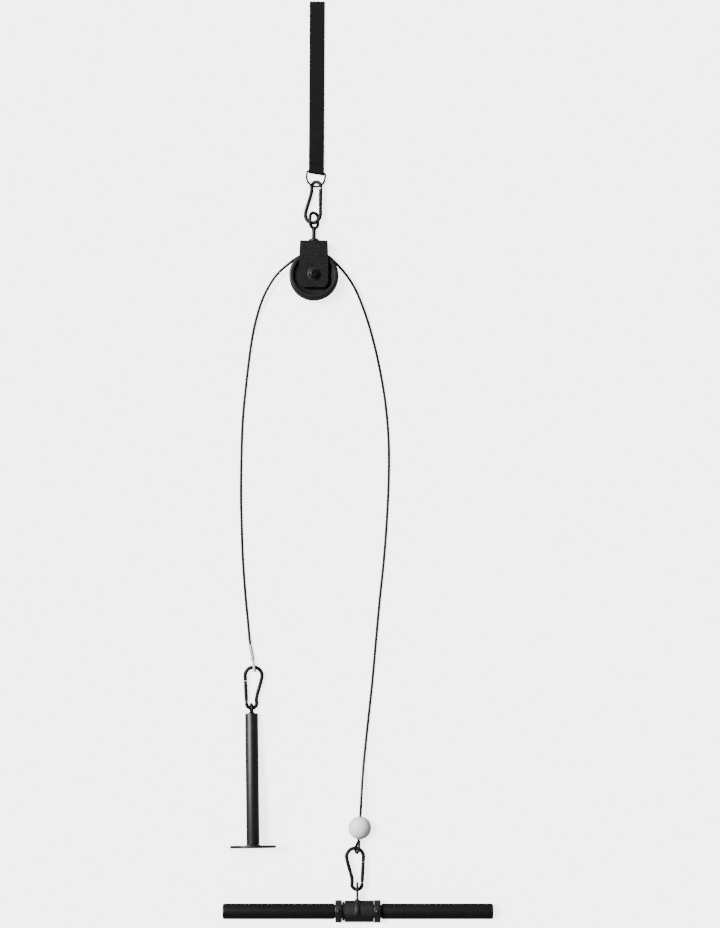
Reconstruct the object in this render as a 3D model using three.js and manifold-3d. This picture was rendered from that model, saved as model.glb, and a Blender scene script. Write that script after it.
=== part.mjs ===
// Shoulder pulley, laid out flat on a surface: a webbing sling with a D-ring, a snap hook, a
// swivelling sheave block, a coated cable over the sheave, a loading pin hooked to one cable
// end, and a straight revolving bar hooked to the other end below a ball stopper.
// Millimetres. +Z is up, +Y runs from the bar to the sling, +X is to the right of someone
// looking down with the sling at the top. The origin lies on the surface, under the middle of
// the outline.
import * as THREE from 'three';
import { mergeVertices } from 'three/addons/utils/BufferGeometryUtils.js';
import Module from 'manifold-3d';

const wasm = await Module();
wasm.setup();

// ---------------------------------------------------------------- driving dimensions
const GAP = 0.3; // left between pieces that touch
const DEGREE = Math.PI / 180;
const QUARTER_TURN = Math.PI / 2;

const CABLE_RADIUS = 2.5;
const SLEEVED_STRAND_RADIUS = 2.2;

const SHEAVE_RADIUS = 45.5;
const SHEAVE_HALF_WIDTH = 12;
const GROOVE_ROOT_RADIUS = 40;
const SHEAVE_BORE_RADIUS = 8.3;

const CHEEK_INSIDE = 13.5; // from the sheave's mid plane
const CHEEK_OUTSIDE = 16.5;
const FRAME_TOP = 64; // from the axle to the outside of the bridge
const FRAME_BOTTOM = -25;
const FRAME_PLATE = CHEEK_OUTSIDE - CHEEK_INSIDE;
const AXLE_RADIUS = 5;
const AXLE_END = 25.1; // how far the nut and the bolt's end reach behind the mid plane
const SHANK_RADIUS = 3.8;
const BLOCK_CENTRE = [-81.4, 342.6, 26.15];
const BLOCK_PITCH = 9.16 * DEGREE; // the block lies on its nut and on the bend of its frame

const EYE_CENTRE = 104.5; // from the axle, along the shank
const EYE_WIRE_RADIUS = 3;
const EYE_BEND_RADIUS = 9;
const EYE_STRAIGHT = 11;
const EYE_ROLL = 37.2 * DEGREE;

const HOOK_WIRE_RADIUS = 3.5;
const HOOK_WIDE_RADIUS = 15.6; // centre line of the wide bend
const HOOK_NARROW_RADIUS = 9.4;
const HOOK_NARROW_CENTRE = [-3.6, -51];
const HOOK_NOSE_Y = -9.5;
const HOOK_RIVET_Y = -47.5;
const RIVET_RADIUS = 1;

const RING_WIRE_RADIUS = 2;
const RING_BEND_RADIUS = 17.3;
const RING_SIDE = 9.9;
const RING_BAR_CENTRE = [-76.9, 535.1, 8.25];
const RING_YAW = -8 * DEGREE;
const RING_ROLL = 11.7 * DEGREE;
const RING_PITCH = -6.8 * DEGREE;

const STRAP_WIDTH = 28.5;
const STRAP_THICKNESS = 4; // two plies
const STRAP_LENGTH = 317.1; // from the D-ring's bar to the folded end
const STRAP_YAW = -0.3 * DEGREE;

const PIN_EYE_CENTRE = [-197, -457.4, 11.45];
const PIN_YAW = 0.89 * DEGREE;
const PIN_PITCH = -7.03 * DEGREE;
const PIN_TUBE_RADIUS = 12;
const PIN_TUBE_TOP = -9.3;
const PIN_TUBE_BOTTOM = -250;
const BOSS_HEIGHT = 1.6;
const PLATE_RADIUS = 42.5;
const PLATE_THICKNESS = 5;

const BALL_RADIUS = 21;
const BALL_CENTRE = [3.4, -677.2, 21.1];
const BALL_YAW = -3.15 * DEGREE;

const BAR_Y = -831.45;
const BAR_HALF_LENGTH = 250;
const BAR_TUBE_RADIUS = 12.5;
const GRIP_RADIUS = 14.35;
const STOP_RING_RADIUS = 20.75;
const COLLAR_RADIUS = 19.85;
const LUG_X = -1.2;
const LUG_THICKNESS = 4.4;
const LUG_HOLE = [-790.6, 20.85]; // y and z of the hole's middle
const LUG_HOLE_RADIUS = 5.2;

// The cable's centre line, from the left ferrule over the sheave to the ferrule in the ball.
const CABLE_ROUTE = [
  [-199.3, -340.0, 7.6], [-200.7, -329.5, 6.0], [-204.2, -292.0, 3.0], [-207.8, -255.4, 2.6],
  [-213.2, -181.4, 2.6], [-215.8, -107.3, 2.6], [-216.6, -71.6, 2.6], [-216.0, 2.4, 2.6],
  [-213.3, 76.6, 2.6], [-206.2, 150.7, 2.7], [-196.5, 224.8, 4.6], [-188.6, 261.6, 8.2],
  [-176.8, 298.6, 14.0], [-162.6, 326.6, 18.6], [-149.3, 345.3, 21.2], [-130.1, 362.9, 21.6],
  [-108.3, 378.4, 20.4], [-95.4, 383.4, 19.6], [-81.4, 385.2, 19.3], [-67.4, 383.4, 19.6],
  [-54.5, 378.4, 20.4], [-29.6, 354.2, 21.3], [-15.4, 335.6, 19.6], [-4.4, 317.2, 16.6],
  [3.9, 298.6, 13.6], [17.3, 261.7, 8.0], [28.0, 224.8, 4.4], [36.9, 187.8, 2.8],
  [50.1, 113.6, 2.6], [56.7, 39.5, 2.6], [56.9, -34.6, 2.6], [53.5, -108.7, 2.6],
  [48.0, -182.8, 2.6], [40.3, -257.0, 2.6], [33.5, -331.2, 2.6], [26.9, -405.2, 2.6],
  [19.0, -479.3, 2.6], [14.2, -524.0, 3.4], [10.4, -562.0, 7.6], [7.8, -597.0, 16.0],
  [6.15, -627.2, 21.1], [4.9, -650.0, 21.1], [3.84, -669.2, 21.1],
];
const CABLE_STEPS = 78;

// ---------------------------------------------------------------- solids
/** A manifold solid from a closed three.js geometry, its shared vertices merged. */
function solidOf(geometry) {
  const bare = geometry.clone();
  bare.deleteAttribute('normal');
  bare.deleteAttribute('uv');
  const merged = mergeVertices(bare, 1e-4);
  return new wasm.Manifold(new wasm.Mesh({
    numProp: 3,
    vertProperties: new Float32Array(merged.attributes.position.array),
    triVerts: new Uint32Array(merged.index.array),
  }));
}

/** A three.js geometry from a manifold solid. */
function geometryOf(solid) {
  const mesh = solid.getMesh();
  const geometry = new THREE.BufferGeometry();
  geometry.setAttribute('position', new THREE.BufferAttribute(mesh.vertProperties, 3));
  geometry.setIndex(new THREE.BufferAttribute(mesh.triVerts, 1));
  geometry.computeVertexNormals();
  return geometry;
}

function cut(geometry, ...tools) {
  return geometryOf(tools.reduce((rest, tool) => rest.subtract(solidOf(tool)), solidOf(geometry)));
}

function join(first, ...others) {
  return geometryOf(others.reduce((sum, other) => sum.add(solidOf(other)), solidOf(first)));
}

function overlapOf(first, second) {
  return geometryOf(solidOf(first).intersect(solidOf(second)));
}

/** Turns the faces round if the geometry is inside out. */
function facingOut(geometry) {
  const merged = mergeVertices(geometry.deleteAttribute('normal').deleteAttribute('uv'), 1e-4);
  const index = merged.index.array;
  const corner = [0, 1, 2].map(() => new THREE.Vector3());
  let volume = 0;
  for (let i = 0; i < index.length; i += 3) {
    corner.forEach((point, k) => point.fromBufferAttribute(merged.attributes.position, index[i + k]));
    volume += corner[0].dot(corner[1].cross(corner[2]));
  }
  if (volume < 0) index.reverse();
  return merged;
}

/** A solid of revolution about the Y axis from [radius, y] pairs, round again if it is a ring. */
function turned(profile, segments, isRing = false) {
  const points = profile.map(([radius, y]) => new THREE.Vector2(radius, y));
  if (isRing) points.push(points[0].clone());
  return facingOut(new THREE.LatheGeometry(points, segments));
}

/** A plain tube about the Y axis. */
function sleeve(inner, outer, low, high, segments) {
  return turned([[inner, low], [outer, low], [outer, high], [inner, high]], segments, true);
}

function rod(radius, low, high, segments) {
  return new THREE.CylinderGeometry(radius, radius, high - low, segments).translate(0, (low + high) / 2, 0);
}

function roundSection(radius, sides, stretch = 1) {
  const corner = (_, i) => new THREE.Vector2(
    radius * Math.cos((2 * Math.PI * i) / sides),
    radius * stretch * Math.sin((2 * Math.PI * i) / sides),
  );
  return new THREE.Shape(Array.from({ length: sides }, corner));
}

/** A round bar along an open curve. */
function bentBar(curve, radius, steps, sides) {
  return facingOut(new THREE.ExtrudeGeometry(roundSection(radius, sides), { steps, extrudePath: curve }));
}

/** A round bar along a closed flat path in the XY plane, drawn anticlockwise. */
function closedBar(path, radius, steps, sides) {
  const geometry = new THREE.TorusGeometry(1, 0.5, sides, steps);
  const position = geometry.attributes.position;
  for (let j = 0; j <= sides; j++) {
    const turn = (2 * Math.PI * j) / sides;
    for (let i = 0; i <= steps; i++) {
      const along = (i % steps) / steps;
      const point = path.getPointAt(along);
      const tangent = path.getTangentAt(along);
      position.setXYZ(
        j * (steps + 1) + i,
        point.x + radius * Math.cos(turn) * tangent.y,
        point.y - radius * Math.cos(turn) * tangent.x,
        radius * Math.sin(turn),
      );
    }
  }
  return facingOut(geometry);
}

/** A curve whose sections follow its points, so that they lie closer on the sheave. */
class Route extends THREE.CatmullRomCurve3 {
  constructor(points) {
    super(points.map((point) => new THREE.Vector3(...point)));
  }

  getUtoTmapping(u) {
    return u;
  }
}

/** A flat path lifted to three dimensions, in the plane z = 0. */
class FlatCurve extends THREE.Curve {
  constructor(path) {
    super();
    this.path = path;
  }

  getPoint(t) {
    const point = this.path.getPoint(t);
    return new THREE.Vector3(point.x, point.y, 0);
  }
}

// ---------------------------------------------------------------- materials and placing
const finish = (color, roughness, metalness) => ({ color, roughness, metalness });
const BLACK_STEEL = finish(0x1d1e20, 0.45, 0.7);
const TEXTURED_STEEL = finish(0x2b2c2c, 0.75, 0.4);
const BRIGHT_STEEL = finish(0x8d9094, 0.35, 0.9);
const BLACK_NYLON = finish(0x232425, 0.5, 0);
const BRONZE = finish(0x8a6a3c, 0.5, 0.8);
const CABLE_COAT = finish(0x151516, 0.4, 0);
const PALE_SLEEVE = finish(0xd9dad8, 0.35, 0);
const PALE_RUBBER = finish(0xe4e3dc, 0.6, 0);
const WEBBING = finish(0x1f2022, 0.9, 0);
const GRIP_RUBBER = finish(0x242426, 0.6, 0);

function add(parent, name, geometry, look) {
  const mesh = new THREE.Mesh(geometry, new THREE.MeshStandardMaterial(look));
  mesh.name = name;
  parent.add(mesh);
  return mesh;
}

/** A group at a place, turned by yaw about Z, then roll about its Y, then pitch about its X. */
function placed(parent, name, position, { yaw = 0, roll = 0, pitch = 0 } = {}) {
  const group = new THREE.Group();
  group.name = name;
  group.position.set(...position);
  group.rotation.set(pitch, roll, yaw, 'ZYX');
  parent.add(group);
  return group;
}

// ---------------------------------------------------------------- sheave block
function blockFrame() {
  const bend = 4;
  const inner = bend - FRAME_PLATE;
  const side = new THREE.Shape();
  side.moveTo(CHEEK_OUTSIDE, FRAME_BOTTOM - 1);
  side.lineTo(CHEEK_OUTSIDE, FRAME_TOP - bend);
  side.absarc(CHEEK_OUTSIDE - bend, FRAME_TOP - bend, bend, 0, QUARTER_TURN);
  side.absarc(bend - CHEEK_OUTSIDE, FRAME_TOP - bend, bend, QUARTER_TURN, Math.PI);
  side.lineTo(-CHEEK_OUTSIDE, FRAME_BOTTOM - 1);
  side.lineTo(-CHEEK_INSIDE, FRAME_BOTTOM - 1);
  side.absarc(bend - CHEEK_OUTSIDE, FRAME_TOP - bend, inner, Math.PI, QUARTER_TURN, true);
  side.absarc(CHEEK_OUTSIDE - bend, FRAME_TOP - bend, inner, QUARTER_TURN, 0, true);
  side.lineTo(CHEEK_INSIDE, FRAME_BOTTOM - 1);
  const length = 60;
  const channel = new THREE.ExtrudeGeometry(side, { depth: length, bevelEnabled: false, curveSegments: 4 });
  channel.translate(0, 0, -length / 2).rotateY(QUARTER_TURN);

  const half = 26.6;
  const topHalf = 25.6;
  const corner = 11;
  const front = new THREE.Shape();
  front.moveTo(-topHalf, FRAME_TOP + 1);
  front.lineTo(-half, 38);
  front.absarc(corner - half, FRAME_BOTTOM + corner, corner, Math.PI, 3 * QUARTER_TURN);
  front.absarc(half - corner, FRAME_BOTTOM + corner, corner, 3 * QUARTER_TURN, 2 * Math.PI);
  front.lineTo(half, 38);
  front.lineTo(topHalf, FRAME_TOP + 1);
  const depth = 40;
  const outline = new THREE.ExtrudeGeometry(front, { depth, bevelEnabled: false, curveSegments: 6 });
  outline.translate(0, 0, -depth / 2);

  const axleHole = rod(AXLE_RADIUS + GAP, -depth / 2, depth / 2, 16).rotateX(QUARTER_TURN);
  const shankHole = rod(SHANK_RADIUS + GAP, FRAME_TOP - 8, FRAME_TOP + 8, 16);
  return cut(overlapOf(channel, outline), axleHole, shankHole);
}

function sheaveWheel() {
  const half = [
    [SHEAVE_BORE_RADIUS, 11.7], [16, 11.7], [17.2, 7], [35.8, 7], [37.6, SHEAVE_HALF_WIDTH],
    [43, SHEAVE_HALF_WIDTH], [SHEAVE_RADIUS, 9.4], [SHEAVE_RADIUS, 5.4], [41.3, 2.9],
  ];
  const mirrored = half.map(([radius, y]) => [radius, -y]).reverse();
  const profile = [...half, [GROOVE_ROOT_RADIUS, 0], ...mirrored];
  return turned(profile, 40, true).rotateX(QUARTER_TURN);
}

function axleBolt() {
  const head = CHEEK_OUTSIDE + 2.1;
  const body = turned([
    [0, -AXLE_END], [AXLE_RADIUS - 0.6, -AXLE_END], [AXLE_RADIUS, 0.6 - AXLE_END],
    [AXLE_RADIUS, head], [9.5, head], [9.3, head + 1.9], [8, head + 4], [5.6, head + 5.2],
    [0, head + 5.5],
  ], 20);
  const socket = rod(3.4, head + 2, head + 8, 6);
  return cut(body, socket).rotateX(QUARTER_TURN);
}

function hexNut(acrossCorners, bore, low, high) {
  const hexagon = rod(acrossCorners, low, high, 6);
  return cut(hexagon, rod(bore, low - 1, high + 1, 16));
}

function buildBlock(block) {
  add(block, 'block_frame', blockFrame(), TEXTURED_STEEL);
  add(block, 'axle_bolt', axleBolt(), BLACK_STEEL);
  const bore = AXLE_RADIUS + GAP;
  const nutFace = CHEEK_OUTSIDE + 2.1;
  const nut = hexNut(9.8, bore, -AXLE_END, -nutFace).rotateY(Math.PI / 6).rotateX(QUARTER_TURN);
  add(block, 'axle_nut', nut, BRIGHT_STEEL);
  const discs = {
    head_washer: [11.5, CHEEK_OUTSIDE + GAP, nutFace - GAP],
    nut_washer: [11, GAP - nutFace, -CHEEK_OUTSIDE - GAP],
    front_thrust_washer: [13, 12, CHEEK_INSIDE - GAP],
    back_thrust_washer: [13, GAP - CHEEK_INSIDE, -12],
  };
  for (const [name, [radius, low, high]] of Object.entries(discs)) {
    add(block, name, sleeve(bore, radius, low, high, 20).rotateX(QUARTER_TURN), BRIGHT_STEEL);
  }
  const bossFoot = FRAME_TOP + GAP;
  const boss = turned([
    [SHANK_RADIUS + GAP, bossFoot], [9.8, bossFoot], [9.8, bossFoot + 2], [8.6, bossFoot + 4.4],
    [6.4, bossFoot + 5.7], [SHANK_RADIUS + GAP, bossFoot + 5.7],
  ], 20, true);
  add(block, 'swivel_boss', boss, BLACK_STEEL);

  add(block, 'sheave', sheaveWheel(), BLACK_NYLON);
  const bush = sleeve(bore, SHEAVE_BORE_RADIUS - GAP, -11.5, 11.5, 20).rotateX(QUARTER_TURN);
  add(block, 'sheave_bush', bush, BRONZE);
}

function swivelEye() {
  const outline = new THREE.Path();
  const half = EYE_STRAIGHT / 2;
  outline.moveTo(EYE_BEND_RADIUS, -half);
  outline.lineTo(EYE_BEND_RADIUS, half);
  outline.absarc(0, half, EYE_BEND_RADIUS, 0, Math.PI);
  outline.lineTo(-EYE_BEND_RADIUS, -half);
  outline.absarc(0, -half, EYE_BEND_RADIUS, Math.PI, 2 * Math.PI);
  const ring = closedBar(outline, EYE_WIRE_RADIUS, 28, 8).rotateY(EYE_ROLL).translate(0, EYE_CENTRE, 0);
  const ringFoot = EYE_CENTRE - half - EYE_BEND_RADIUS;
  const shank = turned([
    [0, 51.5], [SHANK_RADIUS, 51.5], [SHANK_RADIUS, ringFoot - 6], [4.4, ringFoot - 1.5],
    [3, ringFoot + 1.4], [0, ringFoot + 1.8],
  ], 20);
  return join(ring, shank);
}

function buildSwivel(block) {
  add(block, 'swivel_eye', swivelEye(), BLACK_STEEL);
  const inside = FRAME_TOP - FRAME_PLATE;
  const bore = SHANK_RADIUS + GAP;
  add(block, 'swivel_washer', sleeve(bore, 8, inside - GAP - 1.4, inside - GAP, 20), BRIGHT_STEEL);
  add(block, 'swivel_nut', hexNut(7.5, bore, 53, inside - 2 * GAP - 1.4), BRIGHT_STEEL);
}

// ---------------------------------------------------------------- snap hooks
/** Where the outside tangents of the hook's two bends touch them: the angle of one side. */
function tangentAngle(side) {
  const [x, y] = HOOK_NARROW_CENTRE;
  const lean = Math.asin((HOOK_WIDE_RADIUS - HOOK_NARROW_RADIUS) / Math.hypot(x, y));
  return Math.atan2(y, x) + side * (QUARTER_TURN - lean);
}
const SPINE_ANGLE = tangentAngle(1);
const WAIST_TURN = 24 * DEGREE;
const GATE_ANGLE = tangentAngle(-1);
const GATE_FOOT = [
  HOOK_NARROW_CENTRE[0] + HOOK_NARROW_RADIUS * Math.cos(GATE_ANGLE),
  HOOK_NARROW_CENTRE[1] + HOOK_NARROW_RADIUS * Math.sin(GATE_ANGLE),
];
const GATE_TURN = GATE_ANGLE + Math.PI; // how far the gate leans from the hook's Y axis

/** The point of the gate's centre line at a height. */
function onGate(y) {
  return [GATE_FOOT[0] - (y - GATE_FOOT[1]) * Math.tan(GATE_TURN), y];
}
const RIVET_PLACE = onGate(HOOK_RIVET_Y);

function hookBody() {
  const [narrowX, narrowY] = HOOK_NARROW_CENTRE;
  const wire = new THREE.Path();
  wire.moveTo(...onGate(HOOK_NOSE_Y));
  wire.absarc(0, 0, HOOK_WIDE_RADIUS, GATE_ANGLE, SPINE_ANGLE, true);
  // The spine bows inwards, to a waist above the narrow bend.
  const entry = SPINE_ANGLE + WAIST_TURN;
  const start = [HOOK_WIDE_RADIUS * Math.cos(SPINE_ANGLE), HOOK_WIDE_RADIUS * Math.sin(SPINE_ANGLE)];
  const end = [narrowX + HOOK_NARROW_RADIUS * Math.cos(entry), narrowY + HOOK_NARROW_RADIUS * Math.sin(entry)];
  wire.bezierCurveTo(
    start[0] + 20 * Math.sin(SPINE_ANGLE), start[1] - 20 * Math.cos(SPINE_ANGLE),
    end[0] - 10 * Math.sin(entry), end[1] + 10 * Math.cos(entry), ...end,
  );
  wire.absarc(narrowX, narrowY, HOOK_NARROW_RADIUS, entry, GATE_ANGLE, true);
  const bar = bentBar(new FlatCurve(wire), HOOK_WIRE_RADIUS, 34, 8);
  const tongue = new THREE.BoxGeometry(5, 8.2, 2.2).translate(0, -1.1, 0);
  tongue.rotateZ(GATE_TURN).translate(...RIVET_PLACE, 0);
  const hole = rod(RIVET_RADIUS + GAP, -5, 5, 12).rotateX(QUARTER_TURN).translate(...RIVET_PLACE, 0);
  return cut(join(bar, tongue), hole);
}

/** The gate in its own frame: the rivet at the origin, the tip along +Y. */
function hookGate() {
  const length = (HOOK_NOSE_Y - 0.5 - HOOK_RIVET_Y) / Math.cos(GATE_TURN);
  const bar = rod(HOOK_WIRE_RADIUS, 0, length, 12);
  const knuckle = rod(HOOK_WIRE_RADIUS, -HOOK_WIRE_RADIUS, HOOK_WIRE_RADIUS, 12).rotateX(QUARTER_TURN);
  const slot = new THREE.BoxGeometry(8, 10, 2.8);
  const hole = rod(RIVET_RADIUS + GAP, -5, 5, 12).rotateX(QUARTER_TURN);
  const barFoot = overlapOf(join(bar, knuckle), rod(HOOK_WIRE_RADIUS, -4, length, 12));
  return cut(barFoot, slot, hole);
}

function rivet() {
  const seat = HOOK_WIRE_RADIUS + GAP;
  const head = seat + 0.6;
  return turned([
    [0, -head], [1.8, -head], [1.8, -seat], [RIVET_RADIUS, -seat],
    [RIVET_RADIUS, seat], [1.8, seat], [1.8, head], [0, head],
  ], 12).rotateX(QUARTER_TURN);
}

/** A snap hook: wide bend at its origin, +Y to the wide end, gate on its -X side. */
function buildHook(parent, name, position, turn) {
  const hook = placed(parent, `${name}_place`, position, turn);
  add(hook, `${name}_body`, hookBody(), BLACK_STEEL);
  const hinge = placed(hook, `${name}_hinge`, [...RIVET_PLACE, 0], { yaw: GATE_TURN });
  add(hinge, `${name}_gate`, hookGate(), BLACK_STEEL);
  add(hinge, `${name}_rivet`, rivet(), BRIGHT_STEEL);
}

// ---------------------------------------------------------------- D-ring and strap
function dRing() {
  const corner = 2.9;
  const outline = new THREE.Path();
  outline.moveTo(RING_BEND_RADIUS - corner, 0);
  outline.absarc(corner - RING_BEND_RADIUS, -corner, corner, QUARTER_TURN, Math.PI);
  outline.absarc(0, -RING_SIDE, RING_BEND_RADIUS, Math.PI, 2 * Math.PI);
  outline.absarc(RING_BEND_RADIUS - corner, -corner, corner, 0, QUARTER_TURN);
  return closedBar(outline, RING_WIRE_RADIUS, 44, 8);
}

/** How far the strap has taken the D-ring's slant, from 1 at the bar to 0 along the strap. */
function slantAt(y) {
  return 1 - THREE.MathUtils.smoothstep(y, 8, 110);
}

function strap() {
  const half = STRAP_THICKNESS / 2;
  const loose = RING_WIRE_RADIUS + GAP + 0.2;
  const foldRadius = loose + half;
  const foldAngle = 40 * DEGREE;
  const bends = [10, 20, 32, 44, 56, 68, 80, 92, 104];
  const swollen = (y) => half + 0.2 * Math.sin((Math.PI * y) / STRAP_LENGTH);
  const side = new THREE.Shape();
  side.moveTo(STRAP_LENGTH, -half);
  [...bends].reverse().forEach((y) => side.lineTo(y, -swollen(y)));
  side.absarc(0, 0, foldRadius, -foldAngle, foldAngle - 2 * Math.PI, true);
  bends.forEach((y) => side.lineTo(y, swollen(y)));
  side.lineTo(STRAP_LENGTH, half);
  const hole = new THREE.Path();
  hole.absarc(0, 0, loose, 0, 2 * Math.PI, false);
  side.holes.push(hole);
  const band = new THREE.ExtrudeGeometry(side, { depth: STRAP_WIDTH, bevelEnabled: false, curveSegments: 8 });
  band.translate(0, 0, -STRAP_WIDTH / 2);
  const position = band.attributes.position;
  const flatHeight = half + 0.3 - RING_BAR_CENTRE[2];
  for (let i = 0; i < position.count; i++) {
    const y = position.getX(i);
    const across = position.getZ(i);
    const slant = slantAt(y);
    const rise = flatHeight * (1 - slant);
    position.setXYZ(
      i,
      across,
      y + slant * across * Math.tan(RING_YAW),
      position.getY(i) + rise - slant * across * Math.tan(RING_ROLL) / Math.cos(RING_YAW),
    );
  }
  return facingOut(band);
}

// ---------------------------------------------------------------- cable and its ends
function cable() {
  return bentBar(new Route(CABLE_ROUTE), CABLE_RADIUS, CABLE_STEPS, 8);
}

/** A loop of cable in the XY plane: two strands from the ferrule at x = 0 round a bend. */
function cableEye(strandRadius, reach, bendRadius, sides) {
  const points = [
    [GAP, strandRadius + 0.1], [reach * 0.3, strandRadius + 0.5], [reach * 0.62, bendRadius * 0.82],
    [reach, bendRadius], [reach + bendRadius * 0.71, bendRadius * 0.71], [reach + bendRadius, 0],
    [reach + bendRadius * 0.71, -bendRadius * 0.71], [reach, -bendRadius],
    [reach * 0.62, -bendRadius * 0.82], [reach * 0.3, -strandRadius - 0.5], [GAP, -strandRadius - 0.1],
  ];
  return bentBar(new Route(points.map(([x, y]) => [x, y, 0])), strandRadius, 24, sides);
}

function buildLeftEnd(parent) {
  const length = 28;
  const end = placed(parent, 'left_end_place', [-199.25, -340.7, 7.6], { yaw: -80 * DEGREE });
  const section = roundSection(3.3, 12, 1.62);
  const ferrule = new THREE.ExtrudeGeometry(section, { depth: length, bevelEnabled: false });
  ferrule.rotateX(QUARTER_TURN).rotateZ(QUARTER_TURN).rotateX(QUARTER_TURN);
  add(end, 'left_ferrule', facingOut(ferrule), PALE_SLEEVE);
  const eye = cableEye(SLEEVED_STRAND_RADIUS, 14, 6.2, 8).rotateX(QUARTER_TURN);
  add(end, 'left_cable_eye', eye.translate(length, 0, 0.9), PALE_SLEEVE);
}

function ballStopper() {
  const bore = CABLE_RADIUS + 0.4;
  const counterbore = 5.6;
  const profile = [[bore, -7.2], [counterbore, -7.2]];
  const arcSteps = 10;
  const first = -Math.acos(counterbore / BALL_RADIUS);
  const last = Math.acos(4.6 / BALL_RADIUS);
  for (let i = 0; i <= arcSteps; i++) {
    const angle = first + ((last - first) * i) / arcSteps;
    profile.push([BALL_RADIUS * Math.cos(angle), BALL_RADIUS * Math.sin(angle)]);
  }
  profile.push([bore + 0.5, 18.6]);
  return turned(profile, 24, true);
}

function buildRightEnd(parent) {
  const end = placed(parent, 'right_end_place', BALL_CENTRE, { yaw: BALL_YAW });
  add(end, 'ball_stopper', ballStopper(), PALE_RUBBER);
  const ferruleEnd = -21.3;
  add(end, 'right_ferrule', rod(5.2, ferruleEnd, -8.3, 16), BRIGHT_STEEL);
  const loop = cableEye(CABLE_RADIUS, 18.2, 7.1, 8).rotateX(QUARTER_TURN).rotateZ(-QUARTER_TURN);
  loop.rotateY(24 * DEGREE).rotateX(16 * DEGREE).rotateZ(-9 * DEGREE);
  add(end, 'right_cable_eye', loop.translate(0, ferruleEnd - 1.7, 0), CABLE_COAT);
}

// ---------------------------------------------------------------- loading pin
function pinEye() {
  const ringRadius = 7.75;
  const ringWire = 2.75;
  const ring = new THREE.TorusGeometry(ringRadius, ringWire, 8, 20).rotateY(QUARTER_TURN + 10 * DEGREE);
  const neck = turned([
    [0, -20], [4, -20], [4, PIN_TUBE_TOP + GAP], [6.2, PIN_TUBE_TOP + GAP],
    [6, PIN_TUBE_TOP + 1.2], [3.2, -6.4], [0, -6],
  ], 20);
  return join(ring, neck);
}

function buildPin(parent) {
  const pin = placed(parent, 'pin_place', PIN_EYE_CENTRE, { yaw: PIN_YAW, pitch: PIN_PITCH });
  add(pin, 'pin_eye_bolt', pinEye(), BLACK_STEEL);
  const tubeInside = PIN_TUBE_RADIUS - 2;
  const plug = sleeve(4 + GAP, tubeInside - GAP, PIN_TUBE_TOP - 13, PIN_TUBE_TOP - 0.4, 24);
  add(pin, 'pin_top_plug', plug, BLACK_STEEL);
  const tube = sleeve(tubeInside, PIN_TUBE_RADIUS, PIN_TUBE_BOTTOM, PIN_TUBE_TOP, 28);
  add(pin, 'pin_tube', tube, BLACK_STEEL);
  // The plate's raised boss carries the tube's foot, and its spigot stands inside the tube.
  const boss = PIN_TUBE_BOTTOM - GAP;
  const near = boss - BOSS_HEIGHT;
  const far = near - PLATE_THICKNESS;
  const spigot = tubeInside - GAP;
  const plate = turned([
    [0, far], [PLATE_RADIUS - 0.8, far], [PLATE_RADIUS, far + 0.8], [PLATE_RADIUS, near - 0.8],
    [PLATE_RADIUS - 0.8, near], [PIN_TUBE_RADIUS + 2, near], [PIN_TUBE_RADIUS + 0.4, boss],
    [spigot, boss], [spigot, boss + 8], [0, boss + 8],
  ], 40);
  add(pin, 'pin_plate', plate, BLACK_STEEL);
}

// ---------------------------------------------------------------- bar and collar
/** A solid about the Y axis laid along the bar, its +Y end to the right. */
function alongBar(geometry) {
  return geometry.rotateZ(-QUARTER_TURN);
}

function collarSleeve() {
  const bore = 15.3;
  return alongBar(turned([
    [bore, -24.6], [COLLAR_RADIUS - 1, -24.6], [COLLAR_RADIUS, -23.6], [COLLAR_RADIUS, 28.6],
    [COLLAR_RADIUS - 0.8, 29.4], [17.9, 29.4], [17.9, 26.6], [bore, 26.6],
  ], 32, true));
}

/** A lug of plate: an eye towards the hook, and a tail over the top of the collar. */
function eyeLug() {
  const [holeY, holeZ] = LUG_HOLE;
  const holeAhead = holeY - BAR_Y;
  const lift = holeZ - STOP_RING_RADIUS;
  const inside = COLLAR_RADIUS + GAP;
  const outside = inside + 3.4;
  const tipRadius = 13;
  const tail = 97 * DEGREE;
  const low = -34 * DEGREE;
  const shape = new THREE.Shape();
  shape.moveTo(outside * Math.cos(tail), outside * Math.sin(tail));
  shape.absarc(0, 0, outside, tail, 40 * DEGREE, true);
  shape.absarc(holeAhead, lift, tipRadius, 75 * DEGREE, -75 * DEGREE, true);
  shape.lineTo(outside * Math.cos(low), outside * Math.sin(low));
  shape.absarc(0, 0, inside, low, tail, false);
  const hole = new THREE.Path();
  hole.absarc(holeAhead, lift, LUG_HOLE_RADIUS, 0, 2 * Math.PI, false);
  shape.holes.push(hole);
  const plate = new THREE.ExtrudeGeometry(shape, {
    depth: LUG_THICKNESS, bevelEnabled: false, curveSegments: 10,
  });
  plate.translate(0, 0, LUG_X - LUG_THICKNESS / 2);
  return plate.rotateY(QUARTER_TURN).rotateX(QUARTER_TURN);
}

const SCREW_TURN = QUARTER_TURN - 6 * DEGREE; // the clamp screws lean towards the sling

function stopRing(low, high, screwX) {
  const bore = BAR_TUBE_RADIUS + GAP;
  const ring = alongBar(turned([
    [bore, low], [STOP_RING_RADIUS - 1, low], [STOP_RING_RADIUS, low + 1],
    [STOP_RING_RADIUS, high - 1], [STOP_RING_RADIUS - 1, high], [bore, high],
  ], 28, true));
  const seat = rod(4.6, 17.9, 26, 16).rotateX(SCREW_TURN).translate(screwX, 0, 0);
  const thread = rod(3.3, 5, 26, 12).rotateX(SCREW_TURN).translate(screwX, 0, 0);
  return cut(ring, seat, thread);
}

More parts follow.
